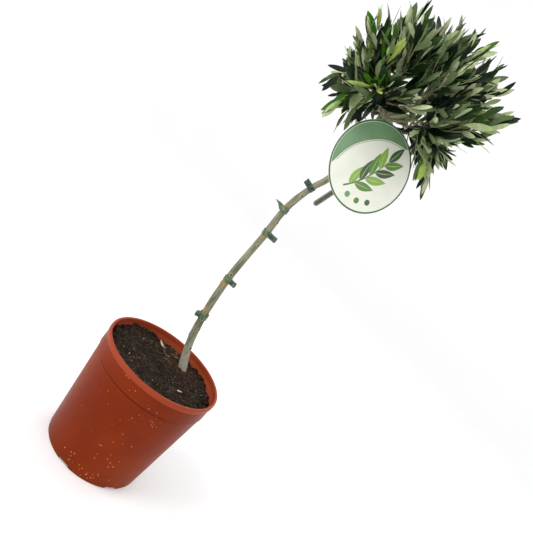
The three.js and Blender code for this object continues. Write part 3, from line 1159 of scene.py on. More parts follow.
@dataclass
class Pot:
    """The turned pot: a raised floor on a notched foot ring, a collar and a rolled rim."""

    wall: float = 2.5
    collar_depth: float = 33.0
    collar_step: float = 1.1
    lip_depth: float = 9.0
    lip_round: float = 2.4
    floor_under: float = 4.5
    floor_top: float = 7.5
    pad_radius: float = 30.0
    foot_width: float = 3.4
    notches: int = 6
    notch_width: float = 20.0
    notch_height: float = 3.6
    first_notch: float = -105.0
    drain_radius: float = 4.5
    drain_circle: float = 60.0
    sides: int = 240
    # Groups of dried splashes: turn and height of the middle, the spread of both, and how many.
    splash_groups: tuple = (
        (-73, 152, 7, 9, 17), (-100, 183, 10, 7, 9), (-80, 14, 9, 7, 17), (-100, 20, 4, 5, 8),
        (-72, 68, 9, 18, 14), (-90, 120, 22, 30, 10), (60, 60, 40, 40, 14), (170, 120, 40, 40, 12),
    )

    def profile(self) -> list[Pair]:
        """The pot's outline, from the middle of its underside out, up over the rim and down inside.

        Returns:
            The outline.
        """
        collar = POT_HEIGHT - self.collar_depth
        lip = POT_HEIGHT - self.lip_depth
        band = RIM_RADIUS - 1.6
        body = band - self.collar_step
        inner_low = BASE_RADIUS - 1.1
        inner_top = RIM_RADIUS - 2 * self.lip_round + 0.4
        foot = BASE_RADIUS - self.foot_width
        return rounded([
            (0, 0.9, 0), (5, 0.9, 0.4), (5.4, 0, 0.3), (self.pad_radius, 0, 0.8),
            (self.pad_radius + 3, self.floor_under, 1.2), (foot, self.floor_under, 1),
            (foot + 0.6, 0, 0.6), (BASE_RADIUS - 0.2, 0, 0.9), (BASE_RADIUS + 0.25, 4.2, 2),
            (body - 0.25, collar - 1.5, 0.2), (body - 1.0, collar - 1.2, 0.1),
            (body - 1.0, collar - 0.4, 0.1), (band - 0.3, collar - 0.1, 0.3),
            (band, collar + 0.9, 0.6), (band + 0.2, lip - 0.5, 0.5),
            (RIM_RADIUS - 0.5, lip + 0.2, 0.6), (RIM_RADIUS, lip + 2.2, 1.2),
            (RIM_RADIUS, POT_HEIGHT, self.lip_round), (inner_top - 0.2, POT_HEIGHT, self.lip_round),
            (inner_top, lip, 1.5), (body - self.wall, collar, 3), (inner_low, self.floor_top, 4),
            (0, self.floor_top, 0),
        ])

    def cutter(self) -> Thing:
        """The notches of the foot ring and the drain holes of the floor, as one object.

        Returns:
            The object.
        """
        shape = Shape()
        for i in range(self.notches):
            angle = math.radians(self.first_notch) + math.tau * i / self.notches
            turn = Matrix.Rotation(angle, 3, "Z")
            half, soft = self.notch_width / 2, 1.4
            outline = [(-half - soft, -2), (half + soft, -2), (half, self.notch_height - soft)]
            outline += [(half - soft, self.notch_height), (soft - half, self.notch_height)]
            outline += [(-half, self.notch_height - soft)]
            rings = []
            for radius in (BASE_RADIUS - 6, BASE_RADIUS + 6):
                rings.append([turn @ Vector((radius, y, z)) for y, z in outline])
            shape.add_rings(rings)
            spot = turn @ Vector((self.drain_circle, 0, 0))
            rings = []
            for height, wider in (
                (-3, 1.2), (self.floor_under, 1.0), (self.floor_under + 0.7, 0), (14, 0)
            ):
                drain = circle(self.drain_radius + wider, 40, spot.x, spot.y)
                rings.append([Vector((x, y, height)) for x, y in drain])
            shape.add_rings(rings)
        return shape.finish("notches_and_drains", [])

    def build(self) -> Thing:
        """The finished pot.

        Returns:
            The object.
        """
        pot = Shape().add_lathe(self.profile(), self.sides).finish("nursery_pot", [PotPlastic()])
        joined(pot, self.cutter(), "DIFFERENCE")
        smooth_faces(pot.data, 40)
        return pot

    def wall_radius(self, height: float) -> float:
        """The outer radius of the wall or the collar at a height.

        Args:
            height: the height.

        Returns:
            The radius.
        """
        collar = POT_HEIGHT - self.collar_depth
        if height > collar:
            return RIM_RADIUS - 1.55
        return mix(BASE_RADIUS + 0.2, RIM_RADIUS - 1.85 - self.collar_step, height / collar)

    def splashes(self) -> Thing:
        """The dried splashes on the wall, as low domes in groups.

        Returns:
            The piece.
        """
        draw = random.Random(5)
        shape = Shape()
        for turn, height, spread, rise, count in self.splash_groups:
            for _ in range(count):
                out = direction(draw.gauss(turn, spread), 0)
                level = min(max(draw.gauss(height, rise), 5), 189)
                size = draw.uniform(0.35, 1.0) ** 1.5 + 0.25
                rings = []
                for wide, lift in ((1.0, -0.4), (0.85, 0.12), (0.4, 0.26)):
                    middle = out * (self.wall_radius(level) + lift * size) + UP * level
                    round_out = circle(size * wide, 9)
                    rings.append([middle + UP.cross(out) * x + UP * y for x, y in round_out])
                shape.add_rings(rings)
        dried = Litter("dried_splash", paint(214, 128, 88), paint(196, 104, 66))
        return shape.finish("dried_splashes", [dried])


# ---------------------------------------- soil


@dataclass
class Soil:
    """The potting mix: an uneven top that falls away in clods, and loose bits on it."""

    radius: float = 99.6
    flat_round_stem: float = 28.0
    bump: float = 2.6
    rings: int = 90
    sides: int = 330
    seed: int = 11
    # Loose bits lie on faces that look up this much, over this height and within this radius.
    least_slope: float = 0.35
    top_height: float = 178.0
    top_radius: float = 97.5
    # For crumbs, clods, fibres and grains: how many lie on a square metre, the seed of their
    # places, the smallest and largest size, and how far they tilt.
    scatter: tuple = (
        (55000.0, 0, 0.45, 2.1, 1.0), (2600.0, 5, 1.8, 4.2, 0.6), (15000.0, 1, 0.5, 1.5, 0.12),
        (2600.0, 2, 0.4, 1.25, 0.5),
    )

    def height(self, x: float, y: float) -> float:
        """The height of the top at a point: the frame's bumps, with clods and relief.

        Args:
            x: its x.
            y: its y.

        Returns:
            The height.
        """
        from_stem = math.hypot(x - FOOT.x, y - FOOT.y)
        away = smooth(from_stem, self.flat_round_stem, 2.2 * self.flat_round_stem)
        bumps = math.sin(x / 11 + 1.3) * math.cos(y / 13) + 0.6 * math.sin((x + 2 * y) / 17)
        level = SOIL_LEVEL - GAP + away * self.bump * (bumps - 0.5)
        streak = Vector((x * 0.73 + y * 0.68, (y * 0.73 - x * 0.68) * 2.3, 0))
        relief = noise.fractal(streak / 16, 0.9, 2.1, 5)
        clods = noise.turbulence(Vector((x, y, 3)) / 11, 4, False)
        near_stem = 1 - smooth(from_stem, 6, 16)
        radius, turn = math.hypot(x, y), math.degrees(math.atan2(y, x)) % 360
        bank = smooth(turn, 100, 140) * (1 - smooth(turn, 190, 225))
        edge = smooth(radius, 80 + 9 * noise.noise(Vector((x, y, 9)) / 9), self.radius - 3)
        level += (1 - near_stem) * (1.3 * relief + 1.7 * (clods - 0.5))
        return level + edge * (4.2 * bank - 1.2 + 3.4 * (clods - 0.5))

    def body(self) -> Thing:
        """The mix as one closed body that fills the pot.

        Returns:
            The piece.
        """
        lows = [(0, 7.8), (80.3, 7.8), (84.4, 11.9), (self.radius - 0.6, 165), (self.radius, 176)]
        rings = []
        for radius, low in lows[1:]:
            rings.append(self.ring(radius, lambda x, y, low=low: low))
        for i in range(self.rings - 1):
            rings.append(self.ring(self.radius * (1 - i / self.rings), self.height))
        return Shape().add_rings(rings).finish("potting_mix", [PottingMix()], sharp=80)

    def ring(self, radius: float, height: Callable[[float, float], float]) -> list[Vector]:
        """One ring of points round the pot's axis, at the height worked out for each."""
        return [Vector((x, y, height(x, y))) for x, y in circle(radius, self.sides)]

    def lump(self, name: str, seed: int, stretch: Triple, finish: Finish, rough: float) -> Thing:
        """A small rough lump of about 1 mm, to be scattered.

        Args:
            name: its name.
            seed: the seed of its relief.
            stretch: its size along each axis.
            finish: its finish.
            rough: how rough it is.

        Returns:
            The object.
        """
        work = bmesh.new()
        bmesh.ops.create_icosphere(work, subdivisions=1, radius=1.0)
        points = []
        for vertex in work.verts:
            push = 1 + rough * noise.noise(vertex.co * 1.9 + Vector((seed * 7.3, 0, 0)))
            points.append(Vector(vertex.co[i] * stretch[i] * push for i in range(3)))
        faces = [tuple(vertex.index for vertex in face.verts) for face in work.faces]
        work.free()
        return Shape().add(points, faces).finish(name, [finish], sharp=70)

    def strand(self, name: str, seed: int, finish: Finish) -> Thing:
        """A short bent fibre, to be scattered.

        Args:
            name: its name.
            seed: the seed.
            finish: its finish.

        Returns:
            The object.
        """
        draw = random.Random(seed)
        middle = Vector((0, draw.uniform(-2.5, 2.5), draw.uniform(0.2, 1.6)))
        path = Path.bend(Vector((-4.5, 0, 0)), middle, Vector((4.5, draw.uniform(-2, 2), 0.3)), 12)
        rings = tube_rings(path, lambda share, turn: 0.16 * (1 - 0.7 * share), 4, 6, UP)
        return Shape().add_rings(rings).finish(name, [finish], sharp=80)

    def scatter_tree(self) -> Tree:
        """The tree that scatters the members of a set over a surface.

        Returns:
            The tree.
        """
        tree = Tree("scatter_on_soil")
        density, seed = tree.size("Density"), tree.size("Seed", "NodeSocketInt")
        smallest, largest = tree.size("Smallest"), tree.size("Largest")
        members, upright = tree.size("Members", "NodeSocketCollection"), tree.size("Tilt")
        normal = tree.node("GeometryNodeInputNormal")
        parts = tree.node("ShaderNodeSeparateXYZ", {0: normal.outputs[0]})
        slope = {0: parts.outputs["Z"], 1: self.least_slope}
        on_top = tree.node("FunctionNodeCompare", slope, operation="GREATER_THAN")
        spread = tree.node("GeometryNodeDistributePointsOnFaces", {
            "Mesh": tree.inputs.outputs[0], "Selection": on_top.outputs[0],
            "Density": density, "Seed": seed,
        })
        range_of_turns = {0: (-1, -1, 0), 1: (1, 1, math.tau), "Seed": 3}
        turn = tree.node("FunctionNodeRandomValue", range_of_turns, data_type="FLOAT_VECTOR")
        tilt = tree.node("ShaderNodeCombineXYZ", {0: upright, 1: upright, 2: 1.0})
        both = {0: turn.outputs[0], 1: tilt.outputs[0]}
        tilted = tree.node("ShaderNodeVectorMath", both, operation="MULTIPLY")
        range_of_sizes = {2: smallest, 3: largest, "Seed": 5}
        scale = tree.node("FunctionNodeRandomValue", range_of_sizes, data_type="FLOAT")
        library = tree.node("GeometryNodeCollectionInfo", {
            "Collection": members, "Separate Children": True, "Reset Children": True,
        })
        placed = tree.node("GeometryNodeInstanceOnPoints", {
            "Points": spread.outputs["Points"], "Instance": library.outputs[0],
            "Pick Instance": True, "Rotation": tilted.outputs[0], "Scale": scale.outputs[1],
        })
        tree.end(tree.node("GeometryNodeRealizeInstances", {0: placed.outputs[0]}).outputs[0])
        return tree

    def scattered(
        self, tree: Tree, name: str, ground: Thing, members: list[Thing], values: dict
    ) -> Thing:
        """One kind of loose bit over the whole top.

        Args:
            tree: the scatter tree.
            name: the new piece's name.
            ground: the surface to scatter on.
            members: the objects that are scattered.
            values: the tree's Density, Seed, Smallest, Largest and Tilt.

        Returns:
            The piece.
        """
        library = hidden_set(name + "_set", members)
        made = linked(name, ground.data.copy())
        tree.run(made, {**values, "Members": library})
        drop_set(library)
        return made

    def top_only(self, body: Thing) -> Thing:
        """A copy of the body's top surface, to scatter on.

        Args:
            body: the mix.

        Returns:
            The object.
        """
        work = bmesh.new()
        work.from_mesh(body.data)
        height, radius = self.top_height * MM, self.top_radius * MM
        low = [v for v in work.verts if v.co.z < height or v.co.xy.length > radius]
        bmesh.ops.delete(work, geom=low, context="VERTS")
        mesh = bpy.data.meshes.new("soil_top")
        work.to_mesh(mesh)
        work.free()
        return bpy.data.objects.new("soil_top", mesh)

    def chip(
        self, name: str, at: Pair, outline: list[Triple], turn: float, finish: Finish
    ) -> Thing:
        """A single flat chip or dry leaf lying on the mix.

        Args:
            name: its name.
            at: where it lies, as (x, y).
            outline: its half outline as (along, half width, rise).
            turn: which way it points, in degrees.
            finish: its finish.

        Returns:
            The object.
        """
        along, aside = direction(turn, 0), direction(turn + 90, 0)
        base = Vector((*at, self.height(*at) + 0.9))
        centre = [base + along * l + UP * rise for l, _, rise in outline]
        wide = [aside * half + UP * 0.25 * half for _, half, _ in outline]
        ribbon = Shape().add_ribbon(centre, wide, [UP * 0.28] * len(outline))
        return ribbon.finish(name, [finish], sharp=60)

    def build(self) -> tuple[Thing, list[Thing]]:
        """The mix and the loose bits on it.

        Returns:
            The mix, and the bits.
        """
        body = self.body()
        top = self.top_only(body)
        tree = self.scatter_tree()
        dark = Litter("soil_crumb")
        straw = Litter("soil_fibre", paint(104, 84, 60), paint(150, 126, 92))
        white = Litter("soil_grain", paint(196, 190, 176), paint(150, 142, 126))
        kinds = {
            "soil_crumbs": [self.lump(f"crumb_{i}", i, (1, 0.8 + 0.1 * i, 0.7), dark, 0.9)
                            for i in range(5)],
            "soil_clods": [self.lump(f"clod_{i}", 60 + i, (1, 0.75 + 0.1 * i, 0.6), dark, 1.1)
                           for i in range(4)],
            "soil_fibres": [self.strand(f"strand_{i}", 40 + i, straw) for i in range(6)],
            "soil_grains": [self.lump(f"grain_{i}", 20 + i, (0.8, 0.6, 0.35), white, 0.7)
                            for i in range(3)],
        }
        bits = []
        for (name, members), (density, seed, *others) in zip(kinds.items(), self.scatter):
            values = {"Density": density, "Seed": self.seed + seed}
            values.update(zip(("Smallest", "Largest", "Tilt"), others))
            bits.append(self.scattered(tree, name, top, members, values))
        dry = Litter("dry_chip", paint(206, 196, 178), paint(172, 156, 132))
        leaf = [
            (-8, 0.2, 0.4), (-5.5, 2.6, 0.9), (-1, 4.2, 1.6), (3.5, 3.2, 2.6), (7, 1.4, 3.6),
            (9, 0.1, 4.2)
        ]
        shard = [(-4, 0.3, 0), (-1.5, 1.5, 0.3), (1.5, 1.2, 0.5), (5, 0.2, 1.2)]
        flake = [(-2.5, 0.2, 0), (0, 0.9, 0.3), (2.5, 0.2, 0.2)]
        bits += [
            self.chip("dry_leaf", (-24, 70), leaf, 140, dry),
            self.chip("pale_chip", (46, -25), shard, 20, dry),
            self.chip("small_chip", (-52, -30), flake, 75, dry),
        ]
        brown = Litter("bark_chip", paint(112, 82, 66), paint(150, 118, 98))
        draw = random.Random(9)
        for i in range(9):
            at = (draw.uniform(-18, 20), draw.uniform(44, 84))
            half = draw.uniform(1.2, 2.4)
            piece = [(-3.4, 0.5, 0.2), (-1.5, half, 0.9), (1.5, half * 0.8, 1.0), (3.4, 0.4, 0.4)]
            bits.append(self.chip(f"bark_chip_{i + 1}", at, piece, draw.uniform(0, 180), brown))
        bpy.data.meshes.remove(top.data)
        return body, bits


# ---------------------------------------- stem and boughs


@dataclass(frozen=True)
class Knot:
    """A scar or bud on the stem: where it is, how wide it is and how far it stands out."""

    height: float
    turn: float
    size: float
    rise: float


@dataclass
class Stem:
    """The bent young stem with its flare, swellings and knots."""

    low_radius: float = 7.0
    top_radius: float = 4.4
    flare: float = 1.0
    flare_fade: float = 0.045
    sides: int = 56
    steps: int = 560
    # The bends of the stem as (x, height over the soil).
    bends: tuple = (
        (41, -22), (28, 0), (8, 51), (-4, 115), (-9.5, 180), (-9, 265), (-10, 322), (0, 371),
        (11, 400), (16, 460),
    )
    knots: tuple = tuple(Knot(*sizes) for sizes in (
        (226, -38, 2.8, 1.7), (262, -30, 2.4, 1.8), (255, -60, 1.7, 0.8), (247, -160, 2.4, 1.2),
        (284, -25, 2.4, 2.6), (232, 120, 2.4, 0.8), (318, 60, 2.2, 0.7), (350, 176, 2.8, 1.6),
        (371, -85, 2.7, 0.9), (398, 140, 2.2, 0.7), (436, -60, 2.2, 0.8), (420, 35, 1.8, 0.5),
        (483, -35, 2.6, 1.0), (530, 170, 2.3, 0.8), (541, -70, 2.0, 0.6), (598, 20, 2.3, 0.8),
        (634, -140, 2.1, 0.7), (668, 70, 2.3, 0.8), (194, -35, 4.2, 1.5),
    ))

    def __post_init__(self) -> None:
        """Works out the stem's middle line."""
        points = [Vector((x, FOOT.y + STEM_LEAN * h, SOIL_LEVEL + h)) for x, h in self.bends]
        self.path = Path.through([*points, FORK])
        self.spots = [(knot, self.share_at(knot.height)) for knot in self.knots]

    def radius(self, share: float) -> float:
        """The stem's radius at a share of its length, as in the frame.

        Args:
            share: the share of the length.

        Returns:
            The radius.
        """
        swelling = 0.25 * math.sin(share * 37) * math.sin(share * 14 + 1)
        flare = self.flare * math.exp(-share / self.flare_fade)
        return mix(self.low_radius, self.top_radius, share) + flare + swelling

    def share_at(self, height: float) -> float:
        """The share of the stem's length at which it reaches a height.

        Args:
            height: the height.

        Returns:
            The share.
        """
        low, high = 0.0, 1.0
        while high - low > 1e-5:
            middle = (low + high) / 2
            low, high = (middle, high) if self.path.at(middle).z < height else (low, middle)
        return low

    def relief(self, share: float, turn: float) -> float:
        """The radius with the bark's relief: ridges, knots with a dimple, and a grown foot.

        Args:
            share: the share of the length.
            turn: the turn in radians.

        Returns:
            The radius.
        """
        base = self.radius(share)
        along = share * self.path.length
        ridge = noise.noise(Vector((math.cos(turn) * 1.6, math.sin(turn) * 1.6, along / 46)))
        spot = Vector((math.cos(turn) * 3.2, math.sin(turn) * 3.2, along / 11))
        fine = noise.fractal(spot, 0.8, 2.1, 3)
        grown = base - 0.12 + 0.22 * ridge + 0.16 * fine
        grown += 0.9 * math.exp(-along / 26) * (0.5 + 0.5 * math.cos(5 * turn + 0.7)) * 0.9
        for knot, at in self.spots:
            away = (share - at) * self.path.length
            if abs(away) > 4 * knot.size:
                continue
            side = (turn - math.radians(knot.turn) + math.pi) % math.tau - math.pi
            distance = math.hypot(away / 1.25, side * base) / knot.size
            grown += knot.rise * math.exp(-distance * distance * 0.9)
            grown -= 0.55 * knot.rise * math.exp(-distance * distance * 9)
        return grown

    def place(self, knot: Knot) -> Vector:
        """The point on the bark at which a knot's middle lies.

        Args:
            knot: the knot.

        Returns:
            The point.
        """
        share = self.share_at(knot.height)
        heading = self.path.heading(share)
        first = (Vector((1, 0, 0)) - heading * heading.x).normalized()
        turn = math.radians(knot.turn)
        out = first * math.cos(turn) + heading.cross(first) * math.sin(turn)
        return self.path.at(share) + out * (self.radius(share) + 0.4 * knot.rise)

    def shape(self) -> Shape:
        """The stem's skin, with its foot cut flat just under the top of the mix.

        Returns:
            The skin.
        """
        rings = tube_rings(self.path, self.relief, self.sides, self.steps, Vector((1, 0, 0)))
        kept = [ring for ring in rings if max(point.z for point in ring) > SOIL_LEVEL]
        for ring in kept:
            for point in ring:
                point.z = max(point.z, SOIL_LEVEL)
        return Shape().add_rings(kept)


class Level(Enum):
    """The levels of cells: the axis's elevation, and the bough's rise, length and start."""

    LOW = (-3, 14, 34, 12)
    HIGH = (42, 46, 38, 3)
    TOP = (90, 84, 36, 0)


@dataclass
class Cell:
    """One mass's own space and the bough that carries it."""

    name: str
    azimuth: float
    level: Level

    def __post_init__(self) -> None:
        """Works out its axis and its bough, as in the frame."""
        elevation, rise, length, start = self.level.value
        self.axis = direction(self.azimuth, elevation)
        out = direction(self.azimuth, rise)
        low, end = FORK - UP * start, FORK + out * length
        flat = Vector((out.x, out.y, 0))
        self.bough = Path.bend(low, low.lerp(end, 0.5) + flat * 5 - UP * 3, end)


LOW_TURNS = (-20, 42, 96, 146, 192, 236)
HIGH_TURNS = (2, 58, 118, 178, 240, 304)
CELLS = [
    *(Cell(f"low_{i}", turn, Level.LOW) for i, turn in enumerate(LOW_TURNS, 1)),
    *(Cell(f"high_{i}", turn, Level.HIGH) for i, turn in enumerate(HIGH_TURNS, 1)),
    Cell("top", 10, Level.TOP),
]


@dataclass
class Limbs:
    """The stem with its boughs, in one skin with the bark's relief."""

    stem: Stem
    bough_radius: float = 3.0
    bough_tip_radius: float = 1.9
    scars: tuple = ((299, 3.5), (352, 4), (451, 3.5), (512, 3.2))

    def bough(self, cell: Cell) -> Shape:
        """One bough, swollen where it leaves the stem, with a node half way.

        Args:
            cell: the cell.

        Returns:
            The skin.
        """
        shift = Vector((cell.azimuth, 0, 0))

        def radius(share: float, turn: float) -> float:
            """Its radius at a share of its length and a turn.

            Args:
                share: the share of the length.
                turn: the turn in radians.

            Returns:
                The radius.
            """
            swell = 0.7 * math.exp(-share * 9) + 0.35 * math.exp(-(((share - 0.55) / 0.05) ** 2))
            spot = Vector((math.cos(turn) * 2, math.sin(turn) * 2, share * 7)) + shift
            rough = 0.16 * noise.noise(spot)
            return mix(self.bough_radius, self.bough_tip_radius, share) + swell + rough

        return Shape().add_rings(tube_rings(cell.bough, radius, 20, 26, Vector((0.3, 1, 0.1))))

    def build(self) -> Thing:
        """The finished limbs.

        Returns:
            The object.
        """
        marked = [knot for knot in self.stem.knots if knot.height > 200]
        spots = tuple((tuple(self.stem.place(knot)), knot.size) for knot in marked)
        bark = Bark(knots=spots, scars=self.scars)
        limbs = self.stem.shape().finish("stem_and_boughs", [bark], sharp=80)
        for cell in CELLS:
            joined(limbs, self.bough(cell).finish("bough", [bark], sharp=80), "UNION")
        smooth_faces(limbs.data, 75)
        return limbs


# ---------------------------------------- crown


@dataclass
class Spot:
    """One leaf's place: its root, where it points and looks, its size and its tint."""

    root: Vector
    along: Vector
    face: Vector
    size: float
    tint: int


@dataclass
class Crown:
    """The leafy crown: the source's shoots, carried on to side twigs, with leaves in pairs."""

    centre: Vector = field(default_factory=lambda: Vector((21, 23, 775)))
    radii: Vector = field(default_factory=lambda: Vector((122, 116, 131)))
    lean: float = 0.17
    squareness: float = 1.75
    long_foot: Vector = field(default_factory=lambda: Vector((95, 20, 762)))
    long_tip: Vector = field(default_factory=lambda: Vector((157, 20, 813)))
    long_room: float = 20.0
    long_end: Vector = field(default_factory=lambda: Vector((140, 20, 806)))
    trim: float = 0.93
    flat_top: float = 2.6
    seed: int = 4057
    shoots: int = 5
    spread: float = 0.42
    shortest: float = 0.66
    longest: float = 0.76
    sag: float = 0.17
    golden_angle: float = 2.399963
    leaf_length: float = 41.0
    leaf_angle: float = 0.5
    leaf_lift: float = 0.6
    turned_over: float = 0.12
    pair_step: float = 15.5
    twig_step: float = 22.5
    leader_radius: float = 1.75
    shoot_radius: float = 1.25
    tip_radius: float = 0.55
    tag_sight: float = 0.8
    # Shoots whose tip lies further out than this keep their leaves along them.
    far_out: float = 130.0
    far_lift: float = 0.25
    hanging_lift: float = -0.8
    usual_fullness: float = 0.66
    # Side twigs: where on the shoot they stand, what their heading is made of, length and rise.
    twig_shares: Pair = (0.1, 0.74)
    twig_heading: Triple = (0.85, 0.62, 0.15)
    twig_lengths: Pair = (0.32, 0.5)
    twig_rise: float = 0.32
    twig_radius: float = 0.62
    leaf_angles: Pair = (0.45, 1.9)
    leaf_lifts: Pair = (-0.1, 1.4)
    leaf_sizes: Pair = (0.66, 1.14)
    leaf_roll: float = 0.7
    own_tint: float = 0.75
    # How full a loose cell is, of 1.
    fullness: dict = field(default_factory=lambda: {
        "low_4": 0.6, "low_5": 0.55, "low_6": 0.8, "low_1": 0.62, "low_2": 0.62, "high_4": 0.65,
        "top": 0.5, "high_1": 0.5, "high_2": 0.55, "high_6": 0.55, "high_5": 0.6,
    })
    # Shoots that stand out of the round: for each cell, the tips as x, y, z, and how far they sag.
    strays: dict = field(default_factory=lambda: {
        "low_1": [
            (138, -4, 790, 0.25), (137, -26, 784, 0.22), (124, 14, 752, 0.2), (110, 10, 722, -0.1),
            (106, 14, 696, -0.25), (118, 0, 684, -0.3), (104, -8, 688, -0.3), (74, -40, 742, 0.1),
            (62, -20, 722, 0.05),
        ],
        "low_2": [(112, 44, 698, -0.3), (90, 66, 706, -0.2)],
        "low_3": [(10, 120, 722, 0.1)],
        "low_4": [(-66, 56, 716, -0.2)],
        "low_5": [(-80, 14, 706, -0.3), (-50, 0, 684, -0.25), (-32, 10, 680, -0.3)],
        "low_6": [(-28, -62, 730, 0.1), (14, -52, 738, 0.1), (40, -44, 734, 0.1)],
        "high_1": [(92, 30, 848, 0.15), (114, 8, 822, 0.2), (138, 16, 803, 0.22)],
        "high_2": [(50, 106, 820, 0.1)],
        "high_3": [(-20, 112, 800, 0.1)],
        "high_4": [(-90, 6, 786, 0.15), (-84, 22, 766, 0.12)],
        "high_5": [(-40, -6, 812, 0.15), (-14, -72, 790, 0.1)],
        "high_6": [(52, -68, 800, 0.12)],
        "top": [(-12, 12, 828, 0.1), (26, 34, 836, 0.1), (57, 12, 850, 0.12)],
    })

    def inside(self, point: Vector, trim: float = 1.0) -> bool:
        """Whether a point is in the crown's trimmed round or in the long shoot's space.

        Args:
            point: the point.
            trim: how far the round is drawn in, of 1.

        Returns:
            Whether it is.
        """
        line = self.long_tip - self.long_foot
        share = min(1.0, max(0.0, (point - self.long_foot).dot(line) / line.length_squared))
        if (point - self.long_foot - line * share).length < self.long_room:
            return True
        p = point - self.centre
        p = Vector((p.x / trim, p.y / trim, p.z / (trim if p.z < 0 else trim**self.flat_top)))
        p.x -= self.lean * max(p.z, 0)
        aside = (p.x / self.radii.x) ** 2 + (p.y / self.radii.y) ** 2
        power = 1 if p.z > 0 else self.squareness
        return aside**power + ((p.z / self.radii.z) ** 2) ** power < 1

    def reach(self, heading: Vector) -> float:
        """How far the crown reaches from the fork in a direction.

        Args:
            heading: the direction.

        Returns:
            The distance.
        """
        near, far = 0.0, 2 * self.radii.z
        while far - near > 0.5:
            middle = (near + far) / 2
            near, far = (middle, far) if self.inside(FORK + heading * middle) else (near, middle)
        return near

    def shoot(self, start: Vector, tip: Vector) -> Path:
        """A shoot that sets off flatter and bends up."""
        return Path.bend(start, start.lerp(tip, 0.5) - UP * self.sag * (tip - start).length, tip)

    def shoots_of(self, cell: Cell, index: int) -> list[Path]:
        """The shoots of one cell, as in the frame: its leader, and those that leave it.

        Args:
            cell: the cell.
            index: the cell's place in the list.

        Returns:
            The shoots, the leader first.
        """
        draw = seeded(self.seed + 97 * index)
        start, heading = cell.bough.at(1), cell.bough.heading(1)
        end = FORK + cell.axis * (self.reach(cell.axis) * self.longest)
        leader = Path.bend(start, start + heading * 0.45 * (end - start).length, end)
        made = [leader]
        for i in range(self.shoots):
            away = self.spread * math.sqrt((i + 0.5) / self.shoots)
            outward = across(cell.axis, i * self.golden_angle + draw())
            heading = cell.axis * math.cos(away) + outward * math.sin(away)
            tip = FORK + heading * (self.reach(heading) * mix(self.shortest, self.longest, draw()))
            made.append(self.shoot(leader.at(mix(0.06, 0.4, i / self.shoots)), tip))
        if cell.name == "high_1":
            made.append(self.shoot(leader.at(0.5), self.long_end))
        return made

    def strays_of(self, cell: Cell, leader: Path) -> list[Path]:
        """The shoots of one cell that stand out of the crown's round.

        Args:
            cell: the cell.
            leader: the cell's leader.

        Returns:
            The shoots.
        """
        made = []
        for *tip, sag in self.strays.get(cell.name, ()):
            start, end = leader.at(0.35), Vector(tip)
            middle = start.lerp(end, 0.55) - UP * sag * (end - start).length
            made.append(Path.bend(start, middle, end))
        return made

    def side_twigs(self, shoot: Path, draw: random.Random) -> list[Path]:
        """The finer twigs of one shoot: they leave it on all sides and bend up with it.

        Args:
            shoot: the shoot.
            draw: the stream of random numbers.

        Returns:
            The twigs.
        """
        made = []
        on, out, up = self.twig_heading
        count = max(2, round(shoot.length / self.twig_step))
        turn = draw.uniform(0, math.tau)
        for i in range(count):
            share = mix(*self.twig_shares, (i + 0.5) / count)
            root, tangent = shoot.at(share), shoot.heading(share)
            turn += self.golden_angle
            outward = across(tangent, turn)
            heading = (tangent * on + outward * out + UP * up).normalized()
            length = draw.uniform(*self.twig_lengths) * shoot.length * (1.15 - 0.55 * share) + 8
            tip = root + heading * length + UP * self.twig_rise * length
            made.append(Path.bend(root, root + heading * 0.55 * length, tip, 10))
        return made

    def leaf(self, twig: Path, share: float, turn: float, lift: float, draw: random.Random) -> Spot:
        """One leaf at its place on a twig, with its own turn, angle, size and roll.

        Args:
            twig: the twig.
            share: the share of the length.
            turn: the turn in radians.
            lift: how far it leans up.
            draw: the stream of random numbers.

        Returns:
            The leaf's place.
        """
        root, tangent, last = twig.at(share), twig.heading(share), share == 1
        outward = across(tangent, turn + draw.uniform(-0.5, 0.5))
        angle = draw.uniform(0, 0.2) if last else self.leaf_angle * draw.uniform(*self.leaf_angles)
        along = tangent * math.cos(angle) + outward * math.sin(angle)
        along = (along + UP * lift * draw.uniform(*self.leaf_lifts)).normalized()
        inner = tangent - outward * 0.4
        face = (inner - along * inner.dot(along)).normalized()
        roll = draw.gauss(0, self.leaf_roll) + (math.pi if draw.random() < self.turned_over else 0)
        face = Matrix.Rotation(roll, 3, along) @ face
        return Spot(root, along, face, draw.uniform(*self.leaf_sizes), 0)

    def leaves_on(
        self, twig: Path, first: float, step: float, lift: float, draw: random.Random
    ) -> list[Spot]:
        """The leaves along one twig: pairs, each turned a quarter from the last, and a tip.

        Args:
            twig: the twig.
            first: the share of its length at which they start.
            step: how far apart the pairs are.
            lift: how far the leaves lean up.
            draw: the stream of random numbers.

        Returns:
            The leaves' places.
        """
        pairs = max(2, round(twig.length * (1 - first) / step))
        turn = draw.uniform(0, math.pi)
        spots = []
        for pair in range(pairs):
            share = mix(first, 0.96, (pair + 0.5) / pairs)
            for half in (-1, 1):
                spots.append(self.leaf(twig, share, turn + (pair + half) * math.pi / 2, lift, draw))
                spots[-1].size *= 1.0 - 0.25 * smooth(share, 0.75, 1.0)
        for side in (0, 1):
            spots.append(self.leaf(twig, 1, turn + side * math.pi, lift, draw))
            spots[-1].size *= 0.85
        return spots

    def fits(self, spot: Spot, free: bool) -> bool:
        """Whether a leaf stays in the crown and the box, and clear of the tag.

        Args:
            spot: its place.
            free: whether it may leave the round.

        Returns:
            Whether it does.
        """
        length = self.leaf_length * spot.size
        line = [spot.root + spot.along * (length * share) for share in (0.35, 0.7, 1.0)]
        if not within_box(line[1]) or not within_box(line[2]):
            return False
        kept = free or all(self.inside(point, self.trim) for point in line)
        return kept and self.clears_tag(line, 5)

